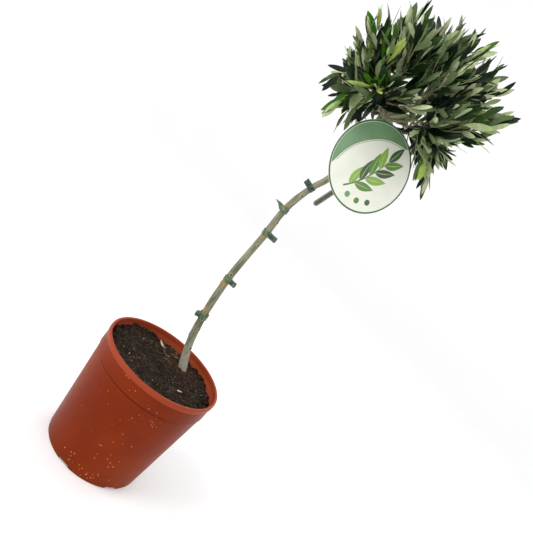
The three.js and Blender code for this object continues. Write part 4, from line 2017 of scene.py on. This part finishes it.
    def clears_tag(self, line: list[Vector], room: float) -> bool:
        """Whether a line keeps clear of the tag's card and of the view of its print.

        Args:
            line: points along the line.
            room: the room to keep.

        Returns:
            Whether it does.
        """
        for point in line:
            offset = point - TAG_CENTRE
            depth = offset.dot(Tag.facing)
            if (offset - Tag.facing * depth).length < TAG_RADIUS + 4 and abs(depth) < room:
                return False
            if depth > 0 and math.hypot(offset.x, offset.z) < self.tag_sight * TAG_RADIUS:
                return False
        return True


def within_box(point: Vector) -> bool:
    """Whether a point lies inside the frame's box, with a margin."""
    low, high = cad_bounds
    return all(low[i] / MM + BOX_MARGIN < point[i] < high[i] / MM - BOX_MARGIN for i in range(3))


@dataclass(frozen=True)
class Tint:
    """One pair of leaf colours, above and below, and how often a spray gets it."""

    name: str
    above: Colour
    below: Colour
    share: float


TINTS = (
    Tint("deep", paint(5, 22, 5), paint(92, 108, 70), 0.44),
    Tint("dark", paint(15, 38, 9), paint(168, 182, 136), 0.33),
    Tint("mid", paint(46, 70, 28), paint(182, 190, 148), 0.16),
    Tint("fresh", paint(52, 98, 6), paint(156, 178, 88), 0.07),
)


@dataclass
class LeafForm:
    """One of the leaf shapes that all leaves repeat, 1 long: its bend, sweep, twist, width."""

    name: str
    droop: float
    sweep: float
    twist: float
    width: float
    stations: int = 9

    def build(self) -> Thing:
        """The leaf's closed thin mesh, with its underside marked.

        Returns:
            The object.
        """
        points, faces, under = [], [], []
        for i in range(self.stations):
            t = i / (self.stations - 1)
            half = self.half_width(t)
            thick = 0.009 * (1 - 0.6 * t)
            middle = Vector((t, self.sweep * t * t, self.droop * t * t))
            turn = Matrix.Rotation(self.twist * (t - 0.2), 3, "X")
            lift = 0.16 * half
            ring = ((half, lift), (0, thick), (-half, lift), (0, -thick))
            points.extend((middle + turn @ Vector((0, *offset))) / MM for offset in ring)
        for i in range(self.stations - 1):
            for j in range(4):
                k = (j + 1) % 4
                here, next_here = 4 * i + j, 4 * i + k
                there, next_there = here + 4, next_here + 4
                if j % 2:
                    faces.extend([(here, next_here, there), (next_here, next_there, there)])
                else:
                    faces.extend([(here, next_here, next_there), (here, next_there, there)])
                under.extend([j >= 2] * 2)
        last = 4 * (self.stations - 1)
        faces.extend([(3, 2, 1, 0), (last, last + 1, last + 2, last + 3)])
        under.extend([False, False])
        made = Shape().add(points, faces).finish(self.name, [], sharp=45)
        mark = made.data.attributes.new("under", "INT", "FACE")
        mark.data.foreach_set("value", [int(side) for side in under])
        return made

    def half_width(self, t: float) -> float:
        """Half the leaf's width at a share of its length: a thin stalk, then a long ellipse."""
        blade = max(0.0, (t - 0.05) / 0.95)
        return 0.016 + self.width * max(0.0, math.sin(math.pi * blade**1.04)) ** 0.78


@dataclass
class Foliage:
    """Builds the crown's pieces, two for each mass: its twigs and its leaves."""

    crown: Crown
    forms: tuple = (
        LeafForm("leaf_1", 0.05, 0.00, 0.1, 0.108),
        LeafForm("leaf_2", -0.09, 0.04, 0.4, 0.098),
        LeafForm("leaf_3", 0.12, -0.05, -0.3, 0.118),
        LeafForm("leaf_4", -0.16, 0.07, -0.7, 0.084),
        LeafForm("leaf_5", 0.02, -0.10, 0.8, 0.102),
        LeafForm("leaf_6", 0.22, 0.06, 0.2, 0.092),
        LeafForm("leaf_7", -0.03, -0.02, -0.1, 0.134),
    )

    def leaf_tree(self) -> Tree:
        """The tree that sets a leaf on each point, by its turn, size, form and tint.

        Returns:
            The tree.
        """
        tree = Tree("leaves_on_twigs")
        length = tree.size("Leaf Length")
        forms = tree.size("Forms", "NodeSocketCollection")
        library = tree.node("GeometryNodeCollectionInfo", {
            "Collection": forms, "Separate Children": True, "Reset Children": True,
        })
        turn = tree.node("FunctionNodeEulerToRotation", {0: tree.read("turn", "FLOAT_VECTOR")})
        size = tree.node("ShaderNodeMath", {0: length, 1: tree.read("size")}, operation="MULTIPLY")
        placed = tree.node("GeometryNodeInstanceOnPoints", {
            "Points": tree.inputs.outputs[0], "Instance": library.outputs[0], "Pick Instance": True,
            "Instance Index": tree.read("form", "INT"), "Rotation": turn.outputs[0],
            "Scale": size.outputs[0],
        })
        flow = tree.node("GeometryNodeRealizeInstances", {0: placed.outputs[0]}).outputs[0]
        for number, tint in enumerate(TINTS):
            for side, colour in enumerate((tint.above, tint.below)):
                name = f"leaf_{tint.name}_{'below' if side else 'above'}"
                finish = Leaf(name, colour, 0.62 if side else 0.36)
                flow = self.dressed(tree, flow, finish, {"tint": number, "under": side})
        tree.end(flow)
        return tree

    @staticmethod
    def dressed(tree: Tree, flow: Socket, finish: Finish, marks: dict[str, int]) -> Socket:
        """Gives a finish to the faces whose whole-number marks have certain values.

        Args:
            tree: the tree.
            flow: the geometry so far.
            finish: the finish.
            marks: the value of each mark.

        Returns:
            The geometry socket.
        """
        chosen = {}
        for place, (name, value) in enumerate(marks.items()):
            pair = {2: tree.read(name, "INT"), 3: value}
            equal = tree.node("FunctionNodeCompare", pair, data_type="INT", operation="EQUAL")
            chosen[place] = equal.outputs[0]
        both = tree.node("FunctionNodeBooleanMath", chosen, operation="AND")
        inputs = {"Geometry": flow, "Selection": both.outputs[0], "Material": finish.material()}
        return tree.node("GeometryNodeSetMaterial", inputs).outputs[0]

    def twig_tree(self) -> Tree:
        """The tree that gives the twigs' lines their round skin.

        Returns:
            The tree.
        """
        tree = Tree("skin_on_twigs")
        sides = tree.size("Sides", "NodeSocketInt")
        lines = tree.node("GeometryNodeMeshToCurve", {0: tree.inputs.outputs[0]})
        size = {"Resolution": sides, "Radius": 1.0}
        round_line = tree.node("GeometryNodeCurvePrimitiveCircle", size)
        skin = tree.node("GeometryNodeCurveToMesh", {
            "Curve": lines.outputs[0], "Profile Curve": round_line.outputs[0],
            "Scale": tree.read("thickness"), "Fill Caps": True,
        })
        real = tree.node("GeometryNodeRealizeInstances", {0: skin.outputs[0]})
        smooth_skin = tree.node("GeometryNodeSetShadeSmooth", {0: real.outputs[0]})
        inputs = {"Geometry": smooth_skin.outputs[0], "Material": Twig().material()}
        tree.end(tree.node("GeometryNodeSetMaterial", inputs).outputs[0])
        return tree

    def lines(self, name: str, twigs: list[tuple[Path, float]], steps: int = 9) -> Thing:
        """The middle lines of some twigs, each point with its thickness.

        Args:
            name: the object's name.
            twigs: each twig's path with the radius at its foot.
            steps: how many steps each line has.

        Returns:
            The object, of points and edges.
        """
        points, edges, thickness = [], [], []
        for path, radius in twigs:
            for i in range(steps + 1):
                if i:
                    edges.append((len(points) - 1, len(points)))
                points.append(path.at(i / steps) * MM)
                knobbly = 1 + 0.12 * math.sin(i * 2.3 + path.length)
                thickness.append(mix(radius, self.crown.tip_radius, i / steps) * knobbly * MM)
        mesh = bpy.data.meshes.new(name)
        mesh.from_pydata(points, edges, [])
        mesh.attributes.new("thickness", "FLOAT", "POINT").data.foreach_set("value", thickness)
        return linked(name, mesh)

    def places(self, name: str, spots: list[Spot], draw: random.Random) -> Thing:
        """One point for each leaf, with its turn, size, form and tint.

        Args:
            name: the object's name.
            spots: the leaves' places.
            draw: the stream of random numbers.

        Returns:
            The object, of points alone.
        """
        mesh = bpy.data.meshes.new(name)
        mesh.from_pydata([spot.root * MM for spot in spots], [], [])
        turns = []
        for spot in spots:
            side = spot.face.cross(spot.along)
            turns.extend(Matrix((spot.along, side, spot.face)).transposed().to_euler())
        forms = [draw.randrange(len(self.forms)) for _ in spots]
        for mark, kind, values in (
            ("turn", "FLOAT_VECTOR", turns), ("size", "FLOAT", [spot.size for spot in spots]),
            ("form", "INT", forms), ("tint", "INT", [spot.tint for spot in spots]),
        ):
            layer = mesh.attributes.new(mark, kind, "POINT").data
            layer.foreach_set("vector" if mark == "turn" else "value", values)
        return linked(name, mesh)

    def grow(self, cell: Cell, index: int) -> tuple[list[tuple[Path, float]], list[Spot]]:
        """The twigs and leaves of one mass.

        Args:
            cell: its cell.
            index: the cell's place in the list.

        Returns:
            The twigs with their radii, and the leaves' places.
        """
        crown = self.crown
        draw = random.Random(crown.seed + index)
        twigs, spots = [], []
        kept = crown.fullness.get(cell.name, crown.usual_fullness)
        shoots = crown.shoots_of(cell, index)
        strays = crown.strays_of(cell, shoots[0])
        for number, shoot in enumerate([*shoots, *strays]):
            stray = number >= len(shoots)
            twigs.append((shoot, crown.leader_radius if number == 0 else crown.shoot_radius))
            hangs = stray and shoot.heading(1).z < 0.1
            lift = crown.leaf_lift * (crown.hanging_lift if hangs else 1)
            lift *= crown.far_lift if shoot.at(1).x > crown.far_out else 1
            sprays = [(shoot, 0.3 if stray else 0.16, crown.pair_step)]
            for side in crown.side_twigs(shoot, draw)[: 2 if stray else None]:
                line = [side.at(0.5), side.at(1)]
                held = draw.random() < kept and (stray or crown.inside(line[1]))
                held = held and within_box(line[1])
                if held and crown.clears_tag(line, 3):
                    twigs.append((side, crown.twig_radius * crown.shoot_radius))
                    sprays.append((side, 0.18, crown.pair_step * 0.9))
            for path, first, step in sprays:
                tint = self.tint_for(path.at(1), draw)
                for spot in crown.leaves_on(path, first, step, lift, draw):
                    spot.tint = tint if draw.random() < crown.own_tint else draw.randrange(3)
                    if draw.random() < 0.5 + 0.5 * kept and crown.fits(spot, stray):
                        spots.append(spot)
        return twigs, spots

    def tint_for(self, tip: Vector, draw: random.Random) -> int:
        """Deals a spray its tint: fresh ones only near the crown's outside.

        Args:
            tip: where the spray ends.
            draw: the stream of random numbers.

        Returns:
            The tint's number.
        """
        pick = draw.random()
        outer = (tip - self.crown.centre).length > 0.62 * self.crown.radii.x
        for number, tint in enumerate(TINTS):
            pick -= tint.share
            if pick < 0:
                return number if number < 3 or outer else 1
        return 0

    def build(self) -> list[tuple[str, Thing, Thing]]:
        """The masses, each as its cell's name, its twigs and its leaves.

        Returns:
            For each mass its cell's name, its twigs and its leaves.
        """
        leaf_tree, twig_tree = self.leaf_tree(), self.twig_tree()
        library = hidden_set("leaf_forms", [form.build() for form in self.forms])
        made = []
        for index, cell in enumerate(CELLS):
            twigs, spots = self.grow(cell, index)
            skin = self.lines(f"twigs_{cell.name}", twigs)
            twig_tree.run(skin, {"Sides": 6})
            leaves = self.places(f"leaves_{cell.name}", spots, random.Random(index))
            leaf_tree.run(leaves, {"Leaf Length": self.crown.leaf_length * MM, "Forms": library})
            made.append((cell.name, skin, leaves))
            log.info("%s: %d twigs, %d leaves", cell.name, len(twigs), len(spots))
        drop_set(library)
        return made


# ---------------------------------------- plant tag


@dataclass
class Tag:
    """The round card with a plain printed sprig, hung by a strap that goes round the stem."""

    stem: Stem
    facing = direction(25.6 - 90, 11.5)
    thickness: float = 0.9
    curl: float = 1.1
    rings: int = 26
    sides: int = 128
    strap_width: float = 8.5
    strap_lean: float = 0.41
    strap_length: float = 100.0
    strap_height: float = 643.0
    print_depth: float = 0.07
    border: Pair = (67.7, 70.2)
    crescent_turns: Pair = (58, 208)
    crescent_radius: float = 67.0
    crescent_depth: float = 26.0
    dot_radius: float = 4.6
    dot_circle: float = 53.0

    def place(self, x: float, y: float, z: float) -> Vector:
        """A point given to the card's right, behind its printed side and up its face.

        Args:
            x: how far right.
            y: how far back.
            z: how far up.

        Returns:
            The point.
        """
        right = UP.cross(self.facing).normalized()
        upward = self.facing.cross(right)
        bend = self.curl * (((x * 0.8 - z * 0.6) / TAG_RADIUS) ** 2 - 0.3)
        return TAG_CENTRE + right * x - self.facing * (y + bend) + upward * z

    def card(self) -> Shape:
        """The bare card, with a rounded edge.

        Returns:
            The shape.
        """
        half = self.thickness / 2
        rings = []
        for side in (-1, 1):
            shares = [i / self.rings for i in range(1, self.rings + 1)]
            for share in shares if side < 0 else reversed(shares):
                radius = TAG_RADIUS * share - (0.35 if share == 1 else 0)
                rings.append([self.place(x, side * half, z) for x, z in circle(radius, self.sides)])
            if side < 0:
                rings.append([self.place(x, 0, z) for x, z in circle(TAG_RADIUS, self.sides)])
        return Shape().add_rings(rings)

    def patch(self, rows: list[list[Pair]], slot: int, depth: float = 1.0) -> None:
        """Prints an area on the card's face: a very thin slab that follows its curl.

        Args:
            rows: rows of equal count of (x, z) points on the face.
            slot: the material slot.
            depth: how many print layers it stands out.
        """
        front = -self.thickness / 2 - self.print_depth * depth
        back = -self.thickness / 2 + 0.2
        count, total = len(rows[0]), len(rows) * len(rows[0])
        points = [self.place(x, y, z) for y in (front, back) for row in rows for x, z in row]
        faces = []
        for i in range(len(rows) - 1):
            for j in range(count - 1):
                a, b = i * count + j, (i + 1) * count + j
                faces.append((a, a + 1, b + 1, b))
                faces.append((total + a, total + b, total + b + 1, total + a + 1))
        border = [*range(count)] + [i * count + count - 1 for i in range(1, len(rows))]
        border += [total - 1 - j for j in range(1, count)]
        border += [i * count for i in range(len(rows) - 2, 0, -1)]
        for a, b in zip(border, [*border[1:], border[0]]):
            faces.append((a, total + a, total + b, b))
        self.shape.add(points, faces, slot)

    def arc_rows(self, radii: Pair, turns: Pair, steps: int) -> list[list[Pair]]:
        """Rows over a band between two radii and two turns in degrees.

        Args:
            radii: the two radii.
            turns: the two turns, in degrees.
            steps: how many steps there are.

        Returns:
            The rows.
        """
        rows = []
        for radius in radii:
            angles = [math.radians(mix(turns[0], turns[1], j / steps)) for j in range(steps + 1)]
            rows.append([(radius * math.cos(a), radius * math.sin(a)) for a in angles])
        return rows

    def leaf_rows(
        self, at: Pair, turn: float, length: float, width: float, sweep: float
    ) -> list[list[Pair]]:
        """Rows over a leaf drawn from its stalk's end, at a turn in degrees.

        Args:
            at: the stalk's end.
            turn: its turn in degrees.
            length: its length.
            width: its width.
            sweep: how far it bends aside.

        Returns:
            The rows.
        """
        base, angle = Vector(at), math.radians(turn)
        along = Vector((math.cos(angle), math.sin(angle)))
        aside = Vector((-along.y, along.x))
        rows = []
        for i in range(15):
            t = i / 14
            half = 0.5 * width * max(0.03, math.sin(math.pi * t**0.85)) ** 0.9
            middle = base + along * (length * t) + aside * (sweep * length * t * t)
            rows.append([tuple(middle + aside * (half * s)) for s in (-1, -0.5, 0, 0.5, 1)])
        return rows

    def printed(self) -> None:
        """The print, in slots 1 to 7: a border, a crescent, a sprig of leaves and three dots."""
        self.patch(self.arc_rows(self.border, (0, 359.9), 140), 1)
        crescent = []
        for i in range(9):
            row = []
            for j in range(61):
                angle = math.radians(mix(*self.crescent_turns, j / 60))
                deep = self.crescent_depth * math.sin(math.pi * j / 60) ** 0.7
                radius = self.crescent_radius - deep * (1 - i / 8)
                row.append((radius * math.cos(angle), radius * math.sin(angle)))
            crescent.append(row)
        self.patch(crescent, 2)
        line = [[(x * s, z * s) for x, z in crescent[0][2:-2]] for s in (0.955, 0.968)]
        self.patch(line, 1)
        stalk = Path.bend(Vector((-22, -46, 0)), Vector((6, -22, 0)), Vector((20, 24, 0)))
        rows = [[], []]
        for i in range(25):
            at, heading = stalk.at(i / 24), stalk.heading(i / 24)
            aside = Vector((-heading.y, heading.x)) * mix(1.3, 0.5, i / 24)
            rows[0].append((at.x - aside.x, at.y - aside.y))
            rows[1].append((at.x + aside.x, at.y + aside.y))
        self.patch(rows, 6, 1.2)
        for i in range(9):
            share = mix(0.12, 1.0, i / 8)
            at, heading = stalk.at(share), stalk.heading(share)
            side = (-1) ** i if i < 8 else 0
            turn = math.degrees(math.atan2(heading.y, heading.x)) + 44 * side
            size = 37 - 9 * abs(share - 0.45)
            leaf = self.leaf_rows((at.x, at.y), turn, size, 13, -0.12 * side)
            self.patch(leaf, 3 + i % 3, 1.6 + 0.25 * i)
            vein = self.leaf_rows((at.x, at.y), turn, size * 0.9, 0.9, -0.12 * side)
            self.patch(vein, 7, 1.75 + 0.25 * i)
        for i, turn in enumerate((262, 283, 304)):
            centre = direction(turn, 0) * self.dot_circle
            rows = [circle(radius, 36, centre.x, centre.y) for radius in (0.01, self.dot_radius)]
            self.patch([[*row, row[0]] for row in rows], (2, 4, 1)[i])

    def strap(self) -> None:
        """The flat strap on the card's back; a darker strip, a hair proud, runs along the middle of
        both faces as the painted shade of a groove.
        """
        lean = Matrix.Rotation(-self.strap_lean, 2)
        back = self.thickness / 2 - 0.05
        # The slot 9 strips are painted shade of a groove along the strap's middle.
        for half, low, high, slot in (
            (4.25, 0.0, 1.0, 8), (2.2, 0.9, 1.16, 9), (2.2, -0.16, 0.1, 9)
        ):
            around = circle(half, 48, 0, -self.strap_length)
            square = [(half, half - 8), (-half, half - 8)]
            outline = [Vector(point) for point in [*around[24:], around[0], *square]]
            rings = []
            for level in (low, high):
                ring = []
                for point in outline:
                    turned = lean @ point
                    ring.append(self.place(turned.x, back + self.sag(point) + level, turned.y))
                rings.append(ring)
            self.shape.add_rings(rings, slot)

    def sag(self, point: Vector) -> float:
        """How far the strap stands off the card's back, past the card's edge."""
        return 0.5 * smooth(-point.y, 60, 100)

    def collar(self) -> Shape:
        """The strap's other end: it leaves the card's back and goes round the stem.

        Returns:
            The shape.
        """
        share = self.stem.share_at(self.strap_height)
        at, heading = self.stem.path.at(share), self.stem.path.heading(share)
        radius = self.stem.radius(share) + 0.75
        upward = self.facing.cross(UP.cross(self.facing).normalized())
        depth = (at - TAG_CENTRE).dot(self.facing) / self.facing.y
        hook = at - Vector((0, depth - 1.1, 0))
        first = (hook - at).normalized()
        second = heading.cross(first)
        points = [hook + second * 1.0]
        for i in range(21):
            a = mix(0.35, math.tau - 0.35, i / 20)
            points.append(at + (first * math.cos(a) + second * math.sin(a)) * radius)
        points.append(hook - second * 1.0)
        path = Path.through(points, 6)
        steps = 90
        centre = [path.at(i / steps) for i in range(steps + 1)]
        wide, thick = [], []
        for i in range(steps + 1):
            reach = (centre[i] - hook).length
            near_card = 1 - smooth(radius, reach - 1, reach + 4)
            up = heading.lerp(upward, 1 - near_card).normalized()
            wide.append(up * (self.strap_width / 2))
            thick.append(path.heading(i / steps).cross(up).normalized() * 0.45)
        return Shape().add_ribbon(centre, wide, thick)

    def build(self) -> tuple[Thing, Thing]:
        """The printed card with its strap, and the strap's collar round the stem.

        Returns:
            The card and the collar.
        """
        self.shape = self.card()
        self.printed()
        self.strap()
        strap = Tape("strap", paint(112, 114, 96), paint(138, 138, 120))
        finishes = [
            Card("card_cream"),
            Card("print_border", paint(40, 92, 52), paint(48, 100, 60)),
            Card("print_sage", paint(108, 146, 104), paint(116, 154, 112)),
            Card("print_leaf_light", paint(124, 168, 58), paint(142, 182, 74)),
            Card("print_leaf_mid", paint(86, 132, 48), paint(98, 146, 56)),
            Card("print_leaf_deep", paint(58, 84, 52), paint(66, 94, 58)),
            Card("print_stalk", paint(92, 96, 76), paint(104, 106, 86)),
            Card("print_vein", paint(190, 206, 150), paint(198, 212, 160)),
            strap,
            # Painted shade of the strap's groove.
            Tape("strap_groove", paint(60, 62, 54), paint(74, 76, 66)),
        ]
        card = self.shape.finish("plant_tag", finishes, sharp=40)
        return card, self.collar().finish("tag_collar", [strap])


# ---------------------------------------- ties


class TieEnd(Enum):
    """How the loose end of a tie lies."""

    WRAP = "two turns that cross, with a folded square and a short end"
    FLAG = "a doubled flag that ends in a small loop"
    BLADE = "one free end that curves off like a leaf"
    TAB = "a short square tab"


@dataclass
class Tie:
    """One tie of soft tape round the stem."""

    stem: Stem
    height: float
    turn: float
    length: float
    end: TieEnd
    dark: bool = False
    width: float = 9.0
    thickness: float = 0.5

    def build(self, name: str) -> Thing:
        """The finished tie.

        Args:
            name: its name.

        Returns:
            The object.
        """
        share = self.stem.share_at(self.height)
        self.at, self.heading = self.stem.path.at(share), self.stem.path.heading(share)
        first = (Vector((1, 0, 0)) - self.heading * self.heading.x).normalized()
        turn = math.radians(self.turn)
        self.out = first * math.cos(turn) + self.heading.cross(first) * math.sin(turn)
        self.side = self.heading.cross(self.out)
        self.radius = self.stem.radius(share) + 0.85
        # The dark tape is all of tie 5 and the wrap's short end; on the flags' fold and end loop it
        # is painted shade.
        dark = Tape("soft_tape_dark", paint(36, 52, 42), paint(60, 80, 64))
        self.shape = Shape()
        getattr(self, f"_{self.end.name.lower()}")()
        return self.shape.finish(name, [dark if self.dark else Tape(), dark], sharp=55)

    def spot(self, out: float, side: float, rise: float = 0.0) -> Vector:
        """A point given along the loose end, across it and along the stem."""
        return self.at + self.out * out + self.side * side + self.heading * rise

    def near(self, out: float, side: float, rise: float = 0.0) -> Vector:
        """A point whose way out is counted from the tape on the stem."""
        return self.spot(self.radius + out, side, rise)

    def far(self, out: float, side: float, rise: float = 0.0) -> Vector:
        """A point whose way out is counted from the reach of the loose end."""
        return self.spot(self.radius + self.length + out, side, rise)

    def loop(
        self, start: float, end: float, extra: float = 0.0, rise: Pair = (0, 0)
    ) -> list[Vector]:
        """Points round the stem between two turns in radians, with room for the layers under it.

        Args:
            start: the first turn, in radians.
            end: the last turn.
            extra: how far it ends out of the first round.
            rise: how high it starts and ends.

        Returns:
            The points.
        """
        points = []
        for i in range(15):
            a = mix(start, end, i / 14)
            radius = self.radius + extra * (i / 14)
            lifted = mix(rise[0], rise[1], i / 14)
            points.append(self.spot(radius * math.cos(a), radius * math.sin(a), lifted))
        return points

    def tape(
        self, points: list[Vector], width: float | None = None, tip: float = 1.0, slot: int = 0
    ) -> None:
        """Runs the tape along some points.

        Args:
            points: the points that it goes through.
            width: its width, when not the tie's own.
            tip: the share of its width that is left at its last end.
            slot: the material slot.
        """
        path = Path.through(points, 6)
        steps = max(24, int(path.length * 1.6))
        centre, wide, thick = [], [], []
        for i in range(steps + 1):
            share = i / steps
            heading = path.heading(share)
            taper = 1 - (1 - tip) * smooth(share, 0.7, 1.0)
            wave = 0.25 * math.sin(share * 9 + self.height)
            lean = self.heading.cross(heading) * 0.06 * math.sin(share * 13)
            up = (self.heading + lean).normalized()
            centre.append(path.at(share) + self.heading * wave)
            wide.append(up * (0.5 * (width or self.width) * taper))
            thick.append(heading.cross(up).normalized() * (self.thickness / 2))
        self.shape.add_ribbon(centre, wide, thick, slot)

    def _flag(self) -> None:
        """A doubled flag: out, round a small loop, back in, round the stem and out again."""
        near, far = self.near, self.far
        points = [near(1, 0.4), far(-3, 0.7), far(-0.8, 1.5), far(0.3, 0.2), far(-0.8, -1.3)]
        points += [far(-3, -0.6), near(1.5, -0.9), *self.loop(math.tau - 0.5, 0.5)]
        self.tape([*points, near(1.5, 1.5), far(-4, 1.6)])
        # The fold's edge is dark tape: painted shade under the doubled flag.
        fold = [near(0.2, -1.7, 1.0), near(3, -2.3, 0.4), far(-5, -1.6, -0.6)]
        self.tape(fold, width=6.4, tip=0.5, slot=1)
        # The end loop is dark tape: painted shade inside the loop.
        rim = [(0.9 * math.cos(a) - 0.4, 0.1 + 1.9 * math.sin(a)) for a in (-1.2, -0.5, 0.2, 0.9)]
        self.tape([far(out, side) for out, side in rim], width=4.6, slot=1)

    def _blade(self) -> None:
        """Once round the stem, with a short end under it and a long one that curves to a point."""
        points = [self.near(3, -0.9, -1), *self.loop(math.tau - 0.4, 0.35, 0.5)]
        points += [self.near(2.5, 1.4, 0.6), self.far(-3, 2.4, 2.6), self.far(4, 1.0, 2.2)]
        self.tape(points, tip=0.16)

    def _tab(self) -> None:
        """Once round the stem, with both ends folded into a thick square tab."""
        near, far = self.near, self.far
        points = [near(1, 1.2), far(-1.4, 2.2), far(0, 1.4), far(0, -1.2), far(-1.4, -1.9)]
        points += [near(1, -1.1), *self.loop(math.tau - 0.6, 0.6), near(1.2, 0.2), far(-2, 0.3)]
        self.tape(points)

    def _wrap(self) -> None:
        """Two slanting turns that cross, a folded square and a short dark end on the other side."""
        near, far = self.near, self.far
        points = [far(0, 1.6, -1.5), near(2, 1.2, -1)]
        points += self.loop(0.5, math.tau + 0.5, 0.6, (-2.2, 2.6))
        points += [near(3, 2.4, 2.4), far(-0.6, 2.4, 1.0), far(0.6, 0.6), far(-1.5, -0.8, -0.8)]
        self.tape([*points, near(1.5, -0.8, -1.4)], tip=0.9)
        crossing = []
        for a, rise in ((-2.0, -5.5), (-1.2, -3.2), (-0.4, -0.6), (0.4, 2.0), (1.2, 4.2)):
            point = self.spot(-self.radius * math.cos(a), self.radius * 1.12 * math.sin(a), rise)
            crossing.append(point + (point - self.at).normalized() * 0.9)
        self.tape(crossing, width=7.5)
        low = ((0.9, -1.5, -4.5), (2.5, -4, -7.5), (2.2, -6.2, -10))
        behind = [self.spot(-self.radius - out, side, rise) for out, side, rise in low]
        self.tape(behind, width=4, tip=0.4, slot=1)


TIES = (
    (286, 205, 7.5, TieEnd.WRAP, False),
    (360, -20, 10.5, TieEnd.FLAG, False),
    (460, -22, 14, TieEnd.FLAG, False),
    (506, 165, 11, TieEnd.BLADE, False),
    (558, 160, 9, TieEnd.TAB, True),
)


# ---------------------------------------- studio


@dataclass
class Studio:
    """The camera, a pale floor that sweeps up all round, and soft light."""

    frame_pixels: float = 533.0
    lens_pixels: float = 600.0
    camera_place: Triple = (0.0, -0.8996, 0.6134)
    elevation: float = 24.68
    roll: float = 39.82
    sensor: float = 36.0
    held_aside: Pair = (-100.4, -94.9)
    floor_radius: float = 3600.0
    floor_bend: float = 900.0
    daylight: float = 0.75

    def camera(self) -> None:
        """The camera, rolled and turned aside as the plant is held."""
        lift, roll = math.radians(self.elevation), math.radians(self.roll)
        back = Vector((0, -math.cos(lift), math.sin(lift)))
        right, up = Vector((1, 0, 0)), Vector((0, math.sin(lift), math.cos(lift)))
        rolled = right * math.cos(roll) + up * math.sin(roll)
        rolled_up = up * math.cos(roll) - right * math.sin(roll)
        aside = Vector((*self.held_aside, -self.lens_pixels)).normalized()
        turn = Vector((0, 0, -1)).rotation_difference(aside).to_matrix()
        to_camera = turn @ Matrix((rolled, rolled_up, back))
        data = bpy.data.cameras.new("camera")
        data.sensor_width = self.sensor
        data.lens = self.sensor * self.lens_pixels / self.frame_pixels
        data.clip_start = 0.01
        made = linked("camera", data)
        made.matrix_world = Matrix.Translation(self.camera_place) @ to_camera.transposed().to_4x4()
        bpy.context.scene.camera = made

    def sweep(self) -> None:
        """The floor and the wall that it rises into, as one turned sheet with some thickness."""
        wide, thick = self.floor_radius, 50
        profile = rounded([(0, -0.3, 0), (wide, -0.3, self.floor_bend), (wide, wide, 0)], 24)
        outer = [(wide + thick, wide), (wide + thick, -thick), (0, -thick)]
        made = Shape().add_lathe([*profile, *outer], 96)
        made.finish("floor", [Paper()], sharp=60, turn_out=False)

    def light(self, name: str, place: Triple, aim: Triple, size: float, power: float) -> None:
        """A soft square light.

        Args:
            name: its name.
            place: where it hangs.
            aim: the point that it looks at.
            size: its side.
            power: its power in watts.
        """
        data = bpy.data.lights.new(name, "AREA")
        data.shape, data.size, data.energy = "SQUARE", size, power
        made = linked(name, data)
        made.location = place
        made.rotation_euler = (Vector(aim) - Vector(place)).to_track_quat("-Z", "Y").to_euler()

    def build(self) -> None:
        """Sets up the whole studio."""
        self.camera()
        self.sweep()
        self.light("key", (-1.3, -0.9, 1.8), (0, 0, 0.45), 1.1, 24)
        self.light("fill", (1.5, -1.0, 1.0), (0, 0, 0.45), 1.4, 2)
        self.light("rim", (0.5, 1.5, 1.7), (0, 0, 0.5), 1.2, 9)
        world = bpy.data.worlds.new("world")
        world.use_nodes = True
        backdrop = world.node_tree.nodes["Background"]
        backdrop.inputs["Color"].default_value = (1, 1, 1, 1)
        backdrop.inputs["Strength"].default_value = self.daylight
        bpy.context.scene.world = world
        bpy.context.scene.view_settings.view_transform = "Standard"


# ---------------------------------------- the whole plant


def keep(piece: Thing, slot: str, *replaced: str) -> None:
    """Hands one piece to the frame.

    Args:
        piece: the piece.
        slot: the name of the record's material slot for the piece; not used.
        *replaced: the frame's nodes that it stands for.
    """
    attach(piece, BODY)
    if replaced:
        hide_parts(*replaced)
    log.info("%s: %d faces", piece.name, len(piece.data.polygons))


def main() -> None:
    """Builds the plant in order, from the pot up."""
    logging.basicConfig(level=logging.INFO, format="%(message)s")
    Studio().build()
    pot = Pot()
    keep(pot.build(), "pot_plastic", "pot")
    keep(pot.splashes(), "pot_plastic")
    mix_body, litter = Soil().build()
    keep(mix_body, "potting_mix", "soil")
    for bit in litter:
        keep(bit, "potting_mix")
    stem = Stem()
    keep(Limbs(stem).build(), "bark", "trunk", *(f"bough_{cell.name}" for cell in CELLS))
    for number, (height, turn, length, end, dark) in enumerate(TIES, 1):
        tie = Tie(stem, height, turn, length, end, dark)
        keep(tie.build(f"tape_tie_{number}"), "tie_tape", f"tie_{number}")
    card, collar = Tag(stem).build()
    keep(card, "tag_card", "tag")
    keep(collar, "tag_card")
    for name, twigs, leaves in Foliage(Crown()).build():
        keep(twigs, "bark")
        keep(leaves, "foliage", f"foliage_{name}")


if __name__ == "__main__":
    main()
